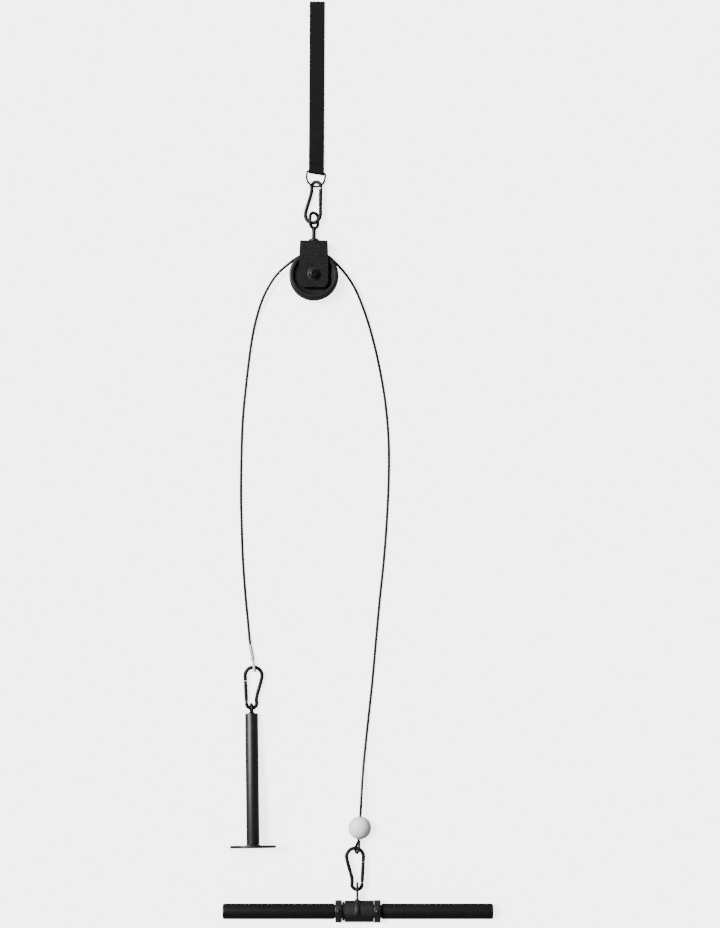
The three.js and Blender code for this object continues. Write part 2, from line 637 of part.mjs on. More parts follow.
function setScrew(x) {
  const screw = turned([
    [0, BAR_TUBE_RADIUS + GAP], [3, BAR_TUBE_RADIUS + GAP], [3, 18.2], [4.2, 18.2], [4.2, 19.2],
    [3.3, 20.2], [1.9, 20.6], [0, 20.7],
  ], 16);
  const socket = rod(1.5, 18.9, 22, 6);
  return cut(screw, socket).rotateX(SCREW_TURN).translate(x, 0, 0);
}

function endCap() {
  const inside = BAR_TUBE_RADIUS - 2 - GAP;
  const lip = BAR_HALF_LENGTH - 3.6;
  return turned([
    [0, lip - 10], [inside, lip - 10], [inside, lip], [GRIP_RADIUS, lip],
    [GRIP_RADIUS, BAR_HALF_LENGTH - 2.6], [GRIP_RADIUS - 0.8, BAR_HALF_LENGTH - 0.9],
    [GRIP_RADIUS - 2.6, BAR_HALF_LENGTH], [0, BAR_HALF_LENGTH],
  ], 28);
}

function buildBar(parent) {
  const bar = placed(parent, 'bar_place', [0, BAR_Y, STOP_RING_RADIUS]);
  add(bar, 'collar_sleeve', collarSleeve(), TEXTURED_STEEL);
  add(bar, 'eye_lug', eyeLug(), BLACK_STEEL);
  const running = BAR_TUBE_RADIUS + GAP;
  const bushOutside = 15;
  const flange = 17.5;
  const leftBush = turned([
    [running, -29.4], [flange, -29.4], [flange, -24.9], [bushOutside, -24.9],
    [bushOutside, -10], [running, -10],
  ], 28, true);
  add(bar, 'collar_bush_left', alongBar(leftBush), BLACK_NYLON);
  const rightBush = turned([
    [running, 10], [bushOutside, 10], [bushOutside, 26.9], [flange, 26.9], [flange, 29.3],
    [running, 29.3],
  ], 28, true);
  add(bar, 'collar_bush_right', alongBar(rightBush), BLACK_NYLON);

  const tube = sleeve(BAR_TUBE_RADIUS - 2, BAR_TUBE_RADIUS, -246, 246, 28);
  add(bar, 'bar_tube', alongBar(tube), BLACK_STEEL);
  const gripStart = 44;
  const gripEnd = BAR_HALF_LENGTH - 3.9;
  const sides = { left: -1, right: 1 };
  for (const [side, sign] of Object.entries(sides)) {
    const grip = turned([
      [running, gripStart], [GRIP_RADIUS - 1, gripStart], [GRIP_RADIUS, gripStart + 1],
      [GRIP_RADIUS, gripEnd], [running, gripEnd],
    ], 28, true);
    add(bar, `grip_${side}`, grip.rotateZ(-sign * QUARTER_TURN), GRIP_RUBBER);
    add(bar, `end_cap_${side}`, endCap().rotateZ(-sign * QUARTER_TURN), BLACK_NYLON);
  }
  const screws = { left: -35.9, right: 35.9 };
  add(bar, 'stop_ring_left', stopRing(-42, -29.8, screws.left), BLACK_STEEL);
  add(bar, 'stop_ring_right', stopRing(29.8, 42, screws.right), BLACK_STEEL);
  add(bar, 'set_screw_left', setScrew(screws.left), BLACK_STEEL);
  add(bar, 'set_screw_right', setScrew(screws.right), BLACK_STEEL);
}

// ---------------------------------------------------------------- the whole set
const set = new THREE.Group();
set.name = 'shoulder_pulley';

const ringPlace = placed(set, 'd_ring_place', RING_BAR_CENTRE, {
  yaw: RING_YAW, roll: RING_ROLL, pitch: RING_PITCH,
});
add(ringPlace, 'd_ring', dRing(), BLACK_STEEL);
const strapPlace = placed(set, 'strap_place', RING_BAR_CENTRE, { yaw: STRAP_YAW });
add(strapPlace, 'strap', strap(), WEBBING);

buildHook(set, 'top_hook', [-83.3, 456.8, 10.35], {
  yaw: Math.PI - 2.45 * DEGREE, roll: 26.3 * DEGREE, pitch: 1.35 * DEGREE,
});
buildHook(set, 'left_hook', [-193.2, -396.8, 8.9], { pitch: -1.7 * DEGREE });
buildHook(set, 'right_hook', [-5.4, -730.9, 16.8], { roll: Math.PI, pitch: 3 * DEGREE });

const block = placed(set, 'block_place', BLOCK_CENTRE, { pitch: -BLOCK_PITCH });
buildBlock(block);
buildSwivel(block);

add(set, 'cable', cable(), CABLE_COAT);
buildLeftEnd(set);
buildRightEnd(set);
buildPin(set);
buildBar(set);

export default set;
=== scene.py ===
"""The looks of a cable pulley set, built around its CAD frame."""

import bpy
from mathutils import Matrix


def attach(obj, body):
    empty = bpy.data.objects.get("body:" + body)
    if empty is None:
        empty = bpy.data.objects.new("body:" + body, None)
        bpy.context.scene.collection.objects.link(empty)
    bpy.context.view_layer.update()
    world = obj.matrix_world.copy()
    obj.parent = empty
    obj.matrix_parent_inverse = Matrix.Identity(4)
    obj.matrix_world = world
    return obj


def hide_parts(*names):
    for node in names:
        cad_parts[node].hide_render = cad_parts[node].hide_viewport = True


bl_info = {
    "name": "Shoulder Pulley",
    "version": (1, 0, 0),
    "blender": (4, 5, 0),
    "location": "3D View > Sidebar > Pulley",
    "description": "Builds a webbing sling, sheave block, cable, loading pin and revolving bar",
    "category": "Add Mesh",
}

import math

import bmesh
import bpy
from mathutils import Matrix, Vector

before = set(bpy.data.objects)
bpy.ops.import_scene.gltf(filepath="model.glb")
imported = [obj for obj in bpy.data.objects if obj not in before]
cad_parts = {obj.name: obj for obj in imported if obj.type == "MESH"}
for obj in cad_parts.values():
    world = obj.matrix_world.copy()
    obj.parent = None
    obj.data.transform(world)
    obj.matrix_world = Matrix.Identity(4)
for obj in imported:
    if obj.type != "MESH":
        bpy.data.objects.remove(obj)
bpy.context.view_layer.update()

MM = 0.001
TAU = 2 * math.pi
MERGE = 1e-4  # millimetres

# ------------------------------------------------------------------ sizes, in millimetres
CHEEK_OUTSIDE = 16.5
FRAME_TOP = 64
AXLE_RADIUS = 5
SHEAVE_RADIUS = 45.5
SHANK_RADIUS = 3.8
EYE_CENTRE = 104.5
EYE_WIRE = 2.96
EYE_BEND = 9.0
EYE_HALF = 5.5
EYE_ROLL = 37.2
HOOK_WIRE = 3.44
HOOK_WIDE = 15.6
HOOK_NARROW = 9.4
HOOK_NARROW_CENTRE = (-3.6, -51.0)
HOOK_NOSE_Y = -9.5
HOOK_RIVET_Y = -47.5
RIVET_BORE = 1.3
RIVET_HEAD = (1.8, 3.75, 4.4)  # radius, underside, top
HOOK_WAIST_TURN = 24
RING_WIRE = 1.9
RING_BEND = 17.3
RING_SIDE = 9.9
RING_CORNER = 2.9
STRAP_HALF_WIDTH = 14.25
STRAP_LENGTH = 317.1
STRAP_SLANT = math.tan(math.radians(-8))
STRAP_TILT = math.tan(math.radians(11.7)) / math.cos(math.radians(-8))
STRAP_DROP = 2.3 - 8.25
BALL_RADIUS = 21
BAR_HALF = 250
BAR_Y, BAR_Z = -831.45, 20.75
COLLAR_RADIUS = 19.85
GRIP_RADIUS = 14.35
STOP_RING_RADIUS = 20.75
CAMERA_HEIGHT = 6.0  # metres
CAMERA_LENS = 125.55
SCREW_LEAN = 6
RING_ENDS = (29.8, 42)
GAP = 0.3

CABLE_ROUTE = (
    (-199.3, -340.0, 7.6), (-200.7, -329.5, 6.0), (-204.2, -292.0, 3.0), (-207.8, -255.4, 2.6),
    (-213.2, -181.4, 2.6), (-215.8, -107.3, 2.6), (-216.6, -71.6, 2.6), (-216.0, 2.4, 2.6),
    (-213.3, 76.6, 2.6), (-206.2, 150.7, 2.7), (-196.5, 224.8, 4.6), (-188.6, 261.6, 8.2),
    (-176.8, 298.6, 14.0), (-162.6, 326.6, 18.6), (-149.3, 345.3, 21.2), (-130.1, 362.9, 21.6),
    (-108.3, 378.4, 20.4), (-95.4, 383.4, 19.6), (-81.4, 385.2, 19.3), (-67.4, 383.4, 19.6),
    (-54.5, 378.4, 20.4), (-29.6, 354.2, 21.3), (-15.4, 335.6, 19.6), (-4.4, 317.2, 16.6),
    (3.9, 298.6, 13.6), (17.3, 261.7, 8.0), (28.0, 224.8, 4.4), (36.9, 187.8, 2.8),
    (50.1, 113.6, 2.6), (56.7, 39.5, 2.6), (56.9, -34.6, 2.6), (53.5, -108.7, 2.6),
    (48.0, -182.8, 2.6), (40.3, -257.0, 2.6), (33.5, -331.2, 2.6), (26.9, -405.2, 2.6),
    (19.0, -479.3, 2.6), (14.2, -524.0, 3.4), (10.4, -562.0, 7.6), (7.8, -597.0, 16.0),
    (6.15, -627.2, 21.1), (4.9, -650.0, 21.1), (3.84, -669.2, 21.1),
)


def place(x=0.0, y=0.0, z=0.0, yaw=0.0, roll=0.0, pitch=0.0):
    """From a piece's own millimetres to the set's metres."""
    turn = Matrix.Rotation(math.radians(yaw), 4, "Z")
    turn = turn @ Matrix.Rotation(math.radians(roll), 4, "Y")
    turn = turn @ Matrix.Rotation(math.radians(pitch), 4, "X")
    return Matrix.Scale(MM, 4) @ Matrix.Translation((x, y, z)) @ turn


BLOCK = place(-81.4, 342.6, 26.15, pitch=-9.16)
STRAP = place(-76.9, 535.1, 8.25, yaw=-0.3)
D_RING = place(-76.9, 535.1, 8.25, yaw=-8, roll=11.7, pitch=-6.8)
HOOKS = {
    "top": place(-83.3, 456.8, 10.35, yaw=180 - 2.45, roll=26.3, pitch=1.35),
    "left": place(-193.2, -396.8, 8.9, pitch=-1.7),
    "right": place(-5.4, -730.9, 16.8, roll=180, pitch=3),
}
LEFT_END = place(-199.25, -340.7, 7.6, yaw=-80)
RIGHT_END = place(3.4, -677.2, 21.1, yaw=-3.15)
PIN = place(-197, -457.4, 11.45, yaw=0.89, pitch=-7.03)
BAR = place(0, BAR_Y, BAR_Z)


# ------------------------------------------------------------------ shader nodes
class Value:
    """One output of a node. Python's operators on it add Math nodes."""

    def __init__(self, finish, socket):
        self.finish = finish
        self.socket = socket

    def maths(self, operation, *terms):
        return self.finish.node("ShaderNodeMath", {"operation": operation}, dict(enumerate(terms)))

    def __add__(self, other):
        return self.maths("ADD", self, other)

    __radd__ = __add__

    def __mul__(self, other):
        return self.maths("MULTIPLY", self, other)

    __rmul__ = __mul__

    def __sub__(self, other):
        return self.maths("SUBTRACT", self, other)

    def __rsub__(self, other):
        return self.maths("SUBTRACT", other, self)

    def __truediv__(self, other):
        return self.maths("DIVIDE", self, other)

    def __rtruediv__(self, other):
        return self.maths("DIVIDE", other, self)

    def __pow__(self, other):
        return self.maths("POWER", self, other)

    def __gt__(self, other):
        return self.maths("GREATER_THAN", self, other)

    def sine(self):
        return self.maths("SINE", self)

    def floor(self):
        return self.maths("FLOOR", self)

    def size(self):
        return self.maths("ABSOLUTE", self)


class Finish:
    """A material with one Principled shader. node() adds any other node to it."""

    def __init__(self, name, colour, roughness, **constants):
        self.material = bpy.data.materials.new(name)
        self.material.use_nodes = True
        self.tree = self.material.node_tree
        self.shader = self.tree.nodes["Principled BSDF"]
        self.material.diffuse_color = (*colour, 1)
        self.set("Base Color", (*colour, 1))
        self.set("Roughness", roughness)
        for socket, value in constants.items():
            self.set(socket.replace("_", " ").title().replace("Ior", "IOR"), value)

    def feed(self, socket, value):
        if isinstance(value, Value):
            self.tree.links.new(value.socket, socket)
        else:
            socket.default_value = value

    def set(self, socket, value):
        self.feed(self.shader.inputs[socket], value)

    def node(self, kind, settings=None, inputs=None, output=0):
        made = self.tree.nodes.new(kind)
        for name, setting in (settings or {}).items():
            if name == "stops":
                self.set_stops(made.color_ramp, setting)
            else:
                setattr(made, name, setting)
        for socket, value in (inputs or {}).items():
            self.feed(made.inputs[socket], value)
        return Value(self, made.outputs[output])

    @staticmethod
    def set_stops(ramp, stops):
        while len(ramp.elements) < len(stops):
            ramp.elements.new(0.5)
        for element, (position, grey) in zip(ramp.elements, stops):
            element.position = position
            element.color = (grey, grey, grey, 1)

    def spot(self, transform=None):
        """Object coordinates in millimetres, in the frame of transform if there is one."""
        where = self.node("ShaderNodeTexCoord", output="Object")
        if transform is None:
            return self.node(
                "ShaderNodeVectorMath", {"operation": "SCALE"}, {0: where, "Scale": 1 / MM}
            )
        back = transform.inverted()
        turn = back.to_euler()
        return self.node(
            "ShaderNodeMapping",
            {"vector_type": "POINT"},
            {
                "Vector": where,
                "Location": back.to_translation(),
                "Rotation": (turn.x, turn.y, turn.z),
                "Scale": (1 / MM,) * 3,
            },
        )

    def along(self, spot, axis):
        return self.node("ShaderNodeSeparateXYZ", inputs={0: spot}, output=axis)

    def cloud(self, spot, millimetres, detail=3.0, roughness=0.5):
        """Noise with blotches of about that many millimetres."""
        return self.node(
            "ShaderNodeTexNoise",
            inputs={"Vector": spot, "Scale": 1 / millimetres, "Detail": detail, "Roughness": roughness},
        )

    def grains(self, spot, millimetres):
        return self.node(
            "ShaderNodeTexVoronoi",
            {"feature": "SMOOTH_F1"},
            {"Vector": spot, "Scale": 1 / millimetres, "Smoothness": 0.4},
        )

    def ramp(self, value, *stops):
        return self.node("ShaderNodeValToRGB", {"stops": stops}, {0: value})

    def blend(self, factor, first, second):
        return self.node(
            "ShaderNodeMix",
            {"data_type": "RGBA"},
            {"Factor": factor, 6: (*first, 1), 7: (*second, 1)},
            output=2,
        )

    def bump(self, height, millimetres, strength=1.0):
        self.set("Normal", self.node(
            "ShaderNodeBump",
            inputs={"Height": height, "Distance": millimetres * MM, "Strength": strength},
        ))


def grey(level, warmth=0.0):
    return (level * (1 + warmth), level, level * (1 - warmth))


def satin_black(name="satin_black_steel", shine=0.5):
    """Black lacquered steel, with faint handling marks."""
    finish = Finish(name, grey(0.005), 0.4, specular_ior_level=shine)
    spot = finish.spot()
    marks = finish.ramp(finish.cloud(spot, 5, 5, 0.6), (0.35, 0), (0.75, 1))
    finish.set("Base Color", finish.blend(marks, grey(0.0035), grey(0.008)))
    finish.set("Roughness", 0.34 + 0.18 * finish.cloud(spot, 2.2, 4))
    finish.bump(finish.cloud(spot, 0.9, 3), 0.03, 0.5)
    return finish.material


def dull_black():
    """The same steel with less shine, on the bent wire and the bolt's head."""
    return satin_black("dull_black_steel", 0.2)


def powder_coat():
    """Textured black powder coat: fine grains over a wavy skin."""
    finish = Finish("textured_powder_coat", grey(0.005), 0.6, specular_ior_level=0.16)
    spot = finish.spot()
    grain = finish.grains(spot, 0.9)
    wave = finish.cloud(spot, 2.6, 4)
    speckle = finish.ramp(finish.cloud(spot, 3.2, 2), (0.42, 0), (0.62, 1))
    finish.set("Base Color", finish.blend(speckle, grey(0.0015), grey(0.009)))
    finish.set("Roughness", 0.45 + 0.35 * wave)
    finish.bump(0.6 * grain + wave, 0.45, 0.9)
    return finish.material


def knurled_coat():
    """The collar's coat over fine knurl lines along the bar."""
    finish = Finish("knurled_coat", grey(0.005), 0.5, specular_ior_level=0.25)
    spot = finish.spot()
    turn = finish.node(
        "ShaderNodeMath",
        {"operation": "ARCTAN2"},
        {
            0: finish.along(spot, "Z") - BAR_Z,
            1: finish.along(spot, "Y") - BAR_Y,
        },
    )
    across = turn * COLLAR_RADIUS
    along = finish.along(spot, "X")
    first = ((across + along) * (TAU / 2 / 1.5)).sine().size()
    second = ((across - along) * (TAU / 2 / 1.5)).sine().size()
    # Painted highlight and shade: the colour follows the knurl's bump, lighter on its crests and darker in
    # its grooves.
    finish.set("Base Color", finish.blend(first * second, grey(0.003), grey(0.012)))
    finish.set("Roughness", 0.45 + 0.2 * finish.cloud(spot, 1.2, 3))
    finish.bump(first * second + 0.2 * finish.cloud(spot, 0.6, 2), 0.25, 0.8)
    return finish.material


def zinc():
    """Zinc-plated steel with fine brushing."""
    finish = Finish("zinc_plate", grey(0.42, 0.02), 0.36, metallic=1.0)
    spot = finish.spot()
    finish.set("Base Color", finish.blend(finish.cloud(spot, 3, 4), grey(0.30), grey(0.48, 0.03)))
    finish.set("Roughness", 0.26 + 0.24 * finish.cloud(spot, 0.8, 4))
    finish.bump(finish.cloud(spot, 0.35, 2), 0.02, 0.5)
    return finish.material


def bronze():
    """Oil-filled sintered bronze."""
    finish = Finish("sintered_bronze", (0.30, 0.19, 0.08), 0.45, metallic=1.0)
    spot = finish.spot()
    pores = finish.ramp(finish.grains(spot, 0.5), (0.1, 0), (0.3, 1))
    finish.set("Base Color", finish.blend(pores, (0.16, 0.10, 0.05), (0.34, 0.22, 0.10)))
    finish.bump(pores, 0.05, 0.6)
    return finish.material


def moulded_nylon():
    """The sheave: black nylon with faint turning rings."""
    finish = Finish("moulded_nylon", grey(0.005), 0.42, specular_ior_level=0.27)
    spot = finish.spot(BLOCK)
    flat_x, flat_y = finish.along(spot, "X"), finish.along(spot, "Y")
    radius = (flat_x * flat_x + flat_y * flat_y) ** 0.5
    rings = (radius * (TAU / 0.9)).sine()
    finish.set("Base Color", finish.blend(finish.cloud(spot, 9, 4), grey(0.005), grey(0.010)))
    finish.set("Roughness", 0.34 + 0.12 * finish.cloud(spot, 2, 4) + 0.03 * rings)
    finish.bump(rings + finish.cloud(spot, 1.2, 3), 0.03, 0.5)
    return finish.material


def plain_plastic():
    """Black end caps: moulded plastic with a fine spark texture."""
    finish = Finish("moulded_cap", grey(0.006), 0.5, specular_ior_level=0.3)
    spot = finish.spot()
    finish.set("Base Color", finish.blend(finish.cloud(spot, 6, 3), grey(0.004), grey(0.008)))
    finish.set("Roughness", 0.42 + 0.18 * finish.cloud(spot, 0.9, 3))
    finish.bump(finish.cloud(spot, 0.5, 3), 0.06, 0.6)
    return finish.material


def cable_coat():
    """Smooth black coat, faintly ribbed by the strands under it."""
    finish = Finish("cable_coat", grey(0.006), 0.34, specular_ior_level=0.35)
    spot = finish.spot()
    finish.set("Base Color", finish.blend(finish.cloud(spot, 12, 3), grey(0.004), grey(0.009)))
    finish.set("Roughness", 0.26 + 0.14 * finish.cloud(spot, 3, 4))
    finish.bump(finish.cloud(spot, 1.6, 2), 0.08, 0.6)
    return finish.material


def pale_sleeve():
    """Milky shrink sleeve over the left end."""
    finish = Finish("milky_sleeve", grey(0.72, 0.01), 0.34)
    spot = finish.spot()
    finish.set("Base Color", finish.blend(finish.cloud(spot, 4, 4), grey(0.62, 0.01), grey(0.80)))
    finish.set("Roughness", 0.28 + 0.16 * finish.cloud(spot, 1.5, 3))
    finish.bump(finish.cloud(spot, 1.8, 3), 0.12, 0.6)
    return finish.material


def ball_rubber():
    """Warm white rubber with a fine matt skin and a few dull marks."""
    finish = Finish("ball_rubber", (0.72, 0.71, 0.67), 0.6)
    spot = finish.spot(RIGHT_END)
    marks = finish.ramp(finish.cloud(spot, 9, 5, 0.6), (0.42, 0), (0.8, 1))
    finish.set("Base Color", finish.blend(marks, (0.93, 0.92, 0.885), (0.82, 0.81, 0.775)))
    finish.set("Roughness", 0.5 + 0.2 * finish.cloud(spot, 2, 4))
    finish.bump(finish.cloud(spot, 0.7, 4) + 0.6 * finish.cloud(spot, 4, 2), 0.12, 0.7)
    return finish.material


def webbing():
    """Plain-woven black webbing; the weave follows the band."""
    finish = Finish("woven_webbing", grey(0.004), 0.82, specular_ior_level=0.2, sheen_weight=0.02)
    across = finish.node("ShaderNodeAttribute", {"attribute_name": "across"}, output="Fac")
    along = finish.node("ShaderNodeAttribute", {"attribute_name": "along"}, output="Fac")
    column = (across / 1.15).floor()
    rib = (across * (TAU / 2 / 1.15)).sine().size()
    pick = ((along * (TAU / 2 / 1.5)) + column * (TAU / 4)).sine().size()
    selvedge = across.size() > 12.9
    height = rib * (0.45 + 0.55 * pick) + 0.35 * selvedge
    fibre = finish.cloud(finish.spot(), 0.5, 4)
    worn = finish.cloud(finish.spot(), 14, 3)
    # Painted shade: the colour follows the weave's bump height, darker in the hollows between the threads
    # and lighter on the raised ribs and selvedges; the fibre noise adds random tone.
    finish.set("Base Color", finish.blend(height * (0.6 + 0.5 * fibre), grey(0.001), grey(0.007)))
    finish.set("Roughness", 0.72 + 0.16 * worn)
    finish.bump(height + 0.25 * fibre, 0.45, 0.9)
    return finish.material


def sewing_thread():
    """Twisted black thread, a little shinier than the webbing."""
    finish = Finish("sewing_thread", grey(0.012), 0.55, specular_ior_level=0.3, sheen_weight=0.03)
    spot = finish.spot()
    twist = ((finish.along(spot, "X") + finish.along(spot, "Y")) * (TAU / 0.6)).sine()
    # Painted shade: the colour follows the twist's bump, darker in the grooves between the plies.
    finish.set("Base Color", finish.blend(0.5 + 0.5 * twist, grey(0.006), grey(0.018)))
    finish.bump(twist, 0.06, 0.7)
    return finish.material


def grip_rubber():
    """Matt black grip: dense rubber with a fine skin."""
    finish = Finish("grip_rubber", grey(0.004), 0.55, specular_ior_level=0.12)
    spot = finish.spot()
    finish.set("Base Color", finish.blend(finish.cloud(spot, 18, 4), grey(0.004), grey(0.008)))
    finish.set("Roughness", 0.42 + 0.18 * finish.cloud(spot, 3, 5))
    finish.bump(finish.grains(spot, 0.6) + finish.cloud(spot, 2.5, 3), 0.06, 0.6)
    return finish.material


MAKERS = {
    "steel": satin_black, "wire": dull_black, "powder": powder_coat, "knurl": knurled_coat, "zinc": zinc,
    "bronze": bronze, "nylon": moulded_nylon, "cap": plain_plastic, "coat": cable_coat,
    "sleeve": pale_sleeve, "ball": ball_rubber, "webbing": webbing, "thread": sewing_thread,
    "grip": grip_rubber,
}
made_finishes = {}


def finish_of(name):
    if name not in made_finishes:
        made_finishes[name] = MAKERS[name]()
    return made_finishes[name]


# ------------------------------------------------------------------ shapes
def new_object(name, mesh):
    made = bpy.data.objects.new(name, mesh)
    bpy.context.scene.collection.objects.link(made)
    return made


def finished(bm, name, finish, body, node=None, transform=None, crease=35.0):
    """The shape as a piece on its body, standing for its CAD node."""
    if transform is not None:
        bmesh.ops.transform(bm, matrix=transform, verts=bm.verts)
    mesh = bpy.data.meshes.new(name)
    bm.to_mesh(mesh)
    bm.free()
    mesh.materials.append(finish_of(finish))
    mesh.polygons.foreach_set("use_smooth", [True] * len(mesh.polygons))
    mesh.set_sharp_from_angle(angle=math.radians(crease))
    piece = new_object(name, mesh)
    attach(piece, body)
    if node:
        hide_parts(node)
    return piece


def tidy(bm, distance=MERGE):
    bmesh.ops.remove_doubles(bm, verts=bm.verts, dist=distance)
    bmesh.ops.recalc_face_normals(bm, faces=bm.faces)
    return bm


def softened(profile, amount, steps=3, ring=False):
    """The profile with each of its corners rounded."""
    count = len(profile)
    soft = []
    for i, corner in enumerate(profile):
        if not ring and i in (0, count - 1):
            soft.append(corner)
            continue
        point = Vector(corner)
        before, after = Vector(profile[i - 1]) - point, Vector(profile[(i + 1) % count]) - point
        cut = min(amount, 0.45 * before.length, 0.45 * after.length)
        if cut < 0.02 or abs(before.angle(after) - math.pi) < 0.12:
            soft.append(corner)
            continue
        start, end = point + before.normalized() * cut, point + after.normalized() * cut
        for k in range(steps + 1):
            t = k / steps
            bend = start * (1 - t) ** 2 + point * (2 * t * (1 - t)) + end * t ** 2
            soft.append((bend.x, bend.y))
    return soft


def turned(profile, segments=64, ring=False, axis="Y"):
    """A solid of revolution about its own Y, X or Z axis from (radius, height) pairs."""
    bm = bmesh.new()
    verts = [bm.verts.new((radius, height, 0)) for radius, height in profile]
    edges = [bm.edges.new(pair) for pair in zip(verts, verts[1:])]
    if ring:
        edges.append(bm.edges.new((verts[-1], verts[0])))
    bmesh.ops.spin(
        bm, geom=verts + edges, cent=(0, 0, 0), axis=(0, 1, 0), angle=TAU, steps=segments,
        use_merge=True,
    )
    tidy(bm)
    turns = {"Y": Matrix(), "X": Matrix.Rotation(-TAU / 4, 4, "Z"), "Z": Matrix.Rotation(TAU / 4, 4, "X")}
    bmesh.ops.transform(bm, matrix=turns[axis], verts=bm.verts)
    return bm


def sleeve(inner, outer, low, high, soft=0.25, axis="Y", segments=56):
    profile = [(inner, low), (outer, low), (outer, high), (inner, high)]
    return turned(softened(profile, soft, 2, ring=True), segments, ring=True, axis=axis)


def arc(x, y, radius, first, last, steps):
    """Points on an arc, from angle first to angle last in degrees."""
    angles = [math.radians(first + (last - first) * i / steps) for i in range(steps + 1)]
    return [Vector((x + radius * math.cos(a), y + radius * math.sin(a), 0)) for a in angles]


def bezier(first, first_handle, last_handle, last, steps):
    """Points inside a cubic curve, without its ends."""
    points = []
    for t in (i / steps for i in range(1, steps)):
        points.append(
            first * (1 - t) ** 3 + first_handle * 3 * t * (1 - t) ** 2
            + last_handle * 3 * t ** 2 * (1 - t) + last * t ** 3
        )
    return points


def frames_along(points, up, closed):
    """A frame at each point: its Z axis along the path, its Y axis near up."""
    frames = []
    count = len(points)
    for i, point in enumerate(points):
        before = points[i - 1] if closed or i else point
        after = points[(i + 1) % count] if closed or i < count - 1 else point
        forward = (after - before).normalized()
        side = up.cross(forward).normalized()
        turn = Matrix((side, forward.cross(side), forward)).transposed().to_4x4()
        turn.translation = point
        frames.append(turn)
    return frames


def domed(end, radius, outward):
    """Frames that close the end of a round bar with a low dome."""
    steps = (30, 55, 75, 88)
    rings = []
    for angle in map(math.radians, steps):
        lift = Matrix.Translation((0, 0, outward * 0.6 * radius * math.sin(angle)))
        rings.append(end @ lift @ Matrix.Scale(math.cos(angle), 4))
    return rings


def bar_along(points, radius, sides=16, closed=False, up=Vector((0, 0, 1)), outline=None, dome=False):
    """A bar of round section, or of the outline, along the points."""
    bm = bmesh.new()
    frames = frames_along(points, up, closed)
    if dome:
        head, tail = domed(frames[0], radius, -1), domed(frames[-1], radius, 1)
        frames = head[::-1] + frames + tail
    if outline:
        verts = [bm.verts.new((x, y, 0)) for x, y in outline]
        for pair in zip(verts, verts[1:] + verts[:1]):
            bm.edges.new(pair)
        bmesh.ops.transform(bm, matrix=frames[0], verts=bm.verts)
    else:
        bmesh.ops.create_circle(bm, segments=sides, radius=radius, matrix=frames[0])
    first = ring = bm.edges[:]
    for here, there in zip(frames, frames[1:]):
        made = bmesh.ops.extrude_edge_only(bm, edges=ring)["geom"]
        verts = {item for item in made if isinstance(item, bmesh.types.BMVert)}
        ring = [
            item for item in made
            if isinstance(item, bmesh.types.BMEdge) and set(item.verts) <= verts
        ]
        bmesh.ops.transform(bm, matrix=there @ here.inverted(), verts=list(verts))
    if closed:
        bmesh.ops.bridge_loops(bm, edges=first + ring)
    else:
        bmesh.ops.holes_fill(bm, edges=bm.edges, sides=0)
    bmesh.ops.recalc_face_normals(bm, faces=bm.faces)
    return bm


def prism(sides, radius, low, high):
    """An upright bar with that many flat sides."""
    bm = bmesh.new()
    bmesh.ops.create_cone(
        bm, cap_ends=True, segments=sides, radius1=radius, radius2=radius, depth=high - low,
        matrix=Matrix.Translation((0, 0, (low + high) / 2)),
    )
    return bm


def brick(width, length, height):
    """A box about the origin."""
    bm = bmesh.new()
    bmesh.ops.create_cube(bm, size=1, matrix=Matrix.Diagonal((width, length, height, 1)))
    return bm


def moved(bm, x=0.0, y=0.0, z=0.0, turn=None):
    if turn is not None:
        bmesh.ops.transform(bm, matrix=turn, verts=bm.verts)
    bmesh.ops.translate(bm, vec=(x, y, z), verts=bm.verts)
    return bm


def rolled(bm, degrees, axis):
    return moved(bm, turn=Matrix.Rotation(math.radians(degrees), 4, axis))


def combined(bm, tools, operation="DIFFERENCE"):
    """The shape with each tool cut from it, or joined to it."""
    meshes = []
    for shape in (bm, *tools):
        mesh = bpy.data.meshes.new("shape")
        shape.to_mesh(mesh)
        shape.free()
        meshes.append(mesh)
    stock = new_object("stock", meshes[0])
    cutters = [new_object("tool", mesh) for mesh in meshes[1:]]
    for cutter in cutters:
        step = stock.modifiers.new("step", "BOOLEAN")
        step.operation = operation
        step.solver = "EXACT"
        step.object = cutter
    seen = stock.evaluated_get(bpy.context.evaluated_depsgraph_get())
    result = bmesh.new()
    result.from_mesh(seen.to_mesh())
    seen.to_mesh_clear()
    for used in (stock, *cutters):
        bpy.data.objects.remove(used)
    for mesh in meshes:
        bpy.data.meshes.remove(mesh)
    return tidy(result)


def eased(bm, width, angle=40.0, segments=2):
    """The shape with its sharp edges eased."""
    bmesh.ops.dissolve_limit(
        bm, angle_limit=math.radians(0.6), verts=bm.verts, edges=bm.edges, use_dissolve_boundaries=False
    )
    sharp = [
        edge for edge in bm.edges
        if len(edge.link_faces) == 2 and edge.calc_face_angle(0) > math.radians(angle)
    ]
    bmesh.ops.bevel(
        bm, geom=sharp, offset=width, offset_type="OFFSET", segments=segments, profile=0.5,
        affect="EDGES", clamp_overlap=True, material=-1,
    )
    return bm


def cad_shape(node):
    """A merged copy of a CAD node, in metres."""
    bm = bmesh.new()
    bm.from_mesh(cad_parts[node].data)
    return tidy(bm, 2e-6)


# ------------------------------------------------------------------ pieces
class PulleySizes(bpy.types.PropertyGroup):
    """Sizes that a user would change."""

    stitch_length: bpy.props.FloatProperty(
        name="Stitch length", description="Length of one stitch on the webbing",
        default=0.0030, subtype="DISTANCE", unit="LENGTH",
    )
    thread_diameter: bpy.props.FloatProperty(
        name="Thread diameter", description="Thickness of the sewing thread",
        default=0.0008, subtype="DISTANCE", unit="LENGTH",
    )
    ply_thickness: bpy.props.FloatProperty(
        name="Ply thickness", description="Thickness of one ply of webbing",
        default=0.0017, subtype="DISTANCE", unit="LENGTH",
    )
    cable_diameter: bpy.props.FloatProperty(
        name="Cable diameter", description="Outside diameter of the coated cable",
        default=0.005, subtype="DISTANCE", unit="LENGTH",
    )


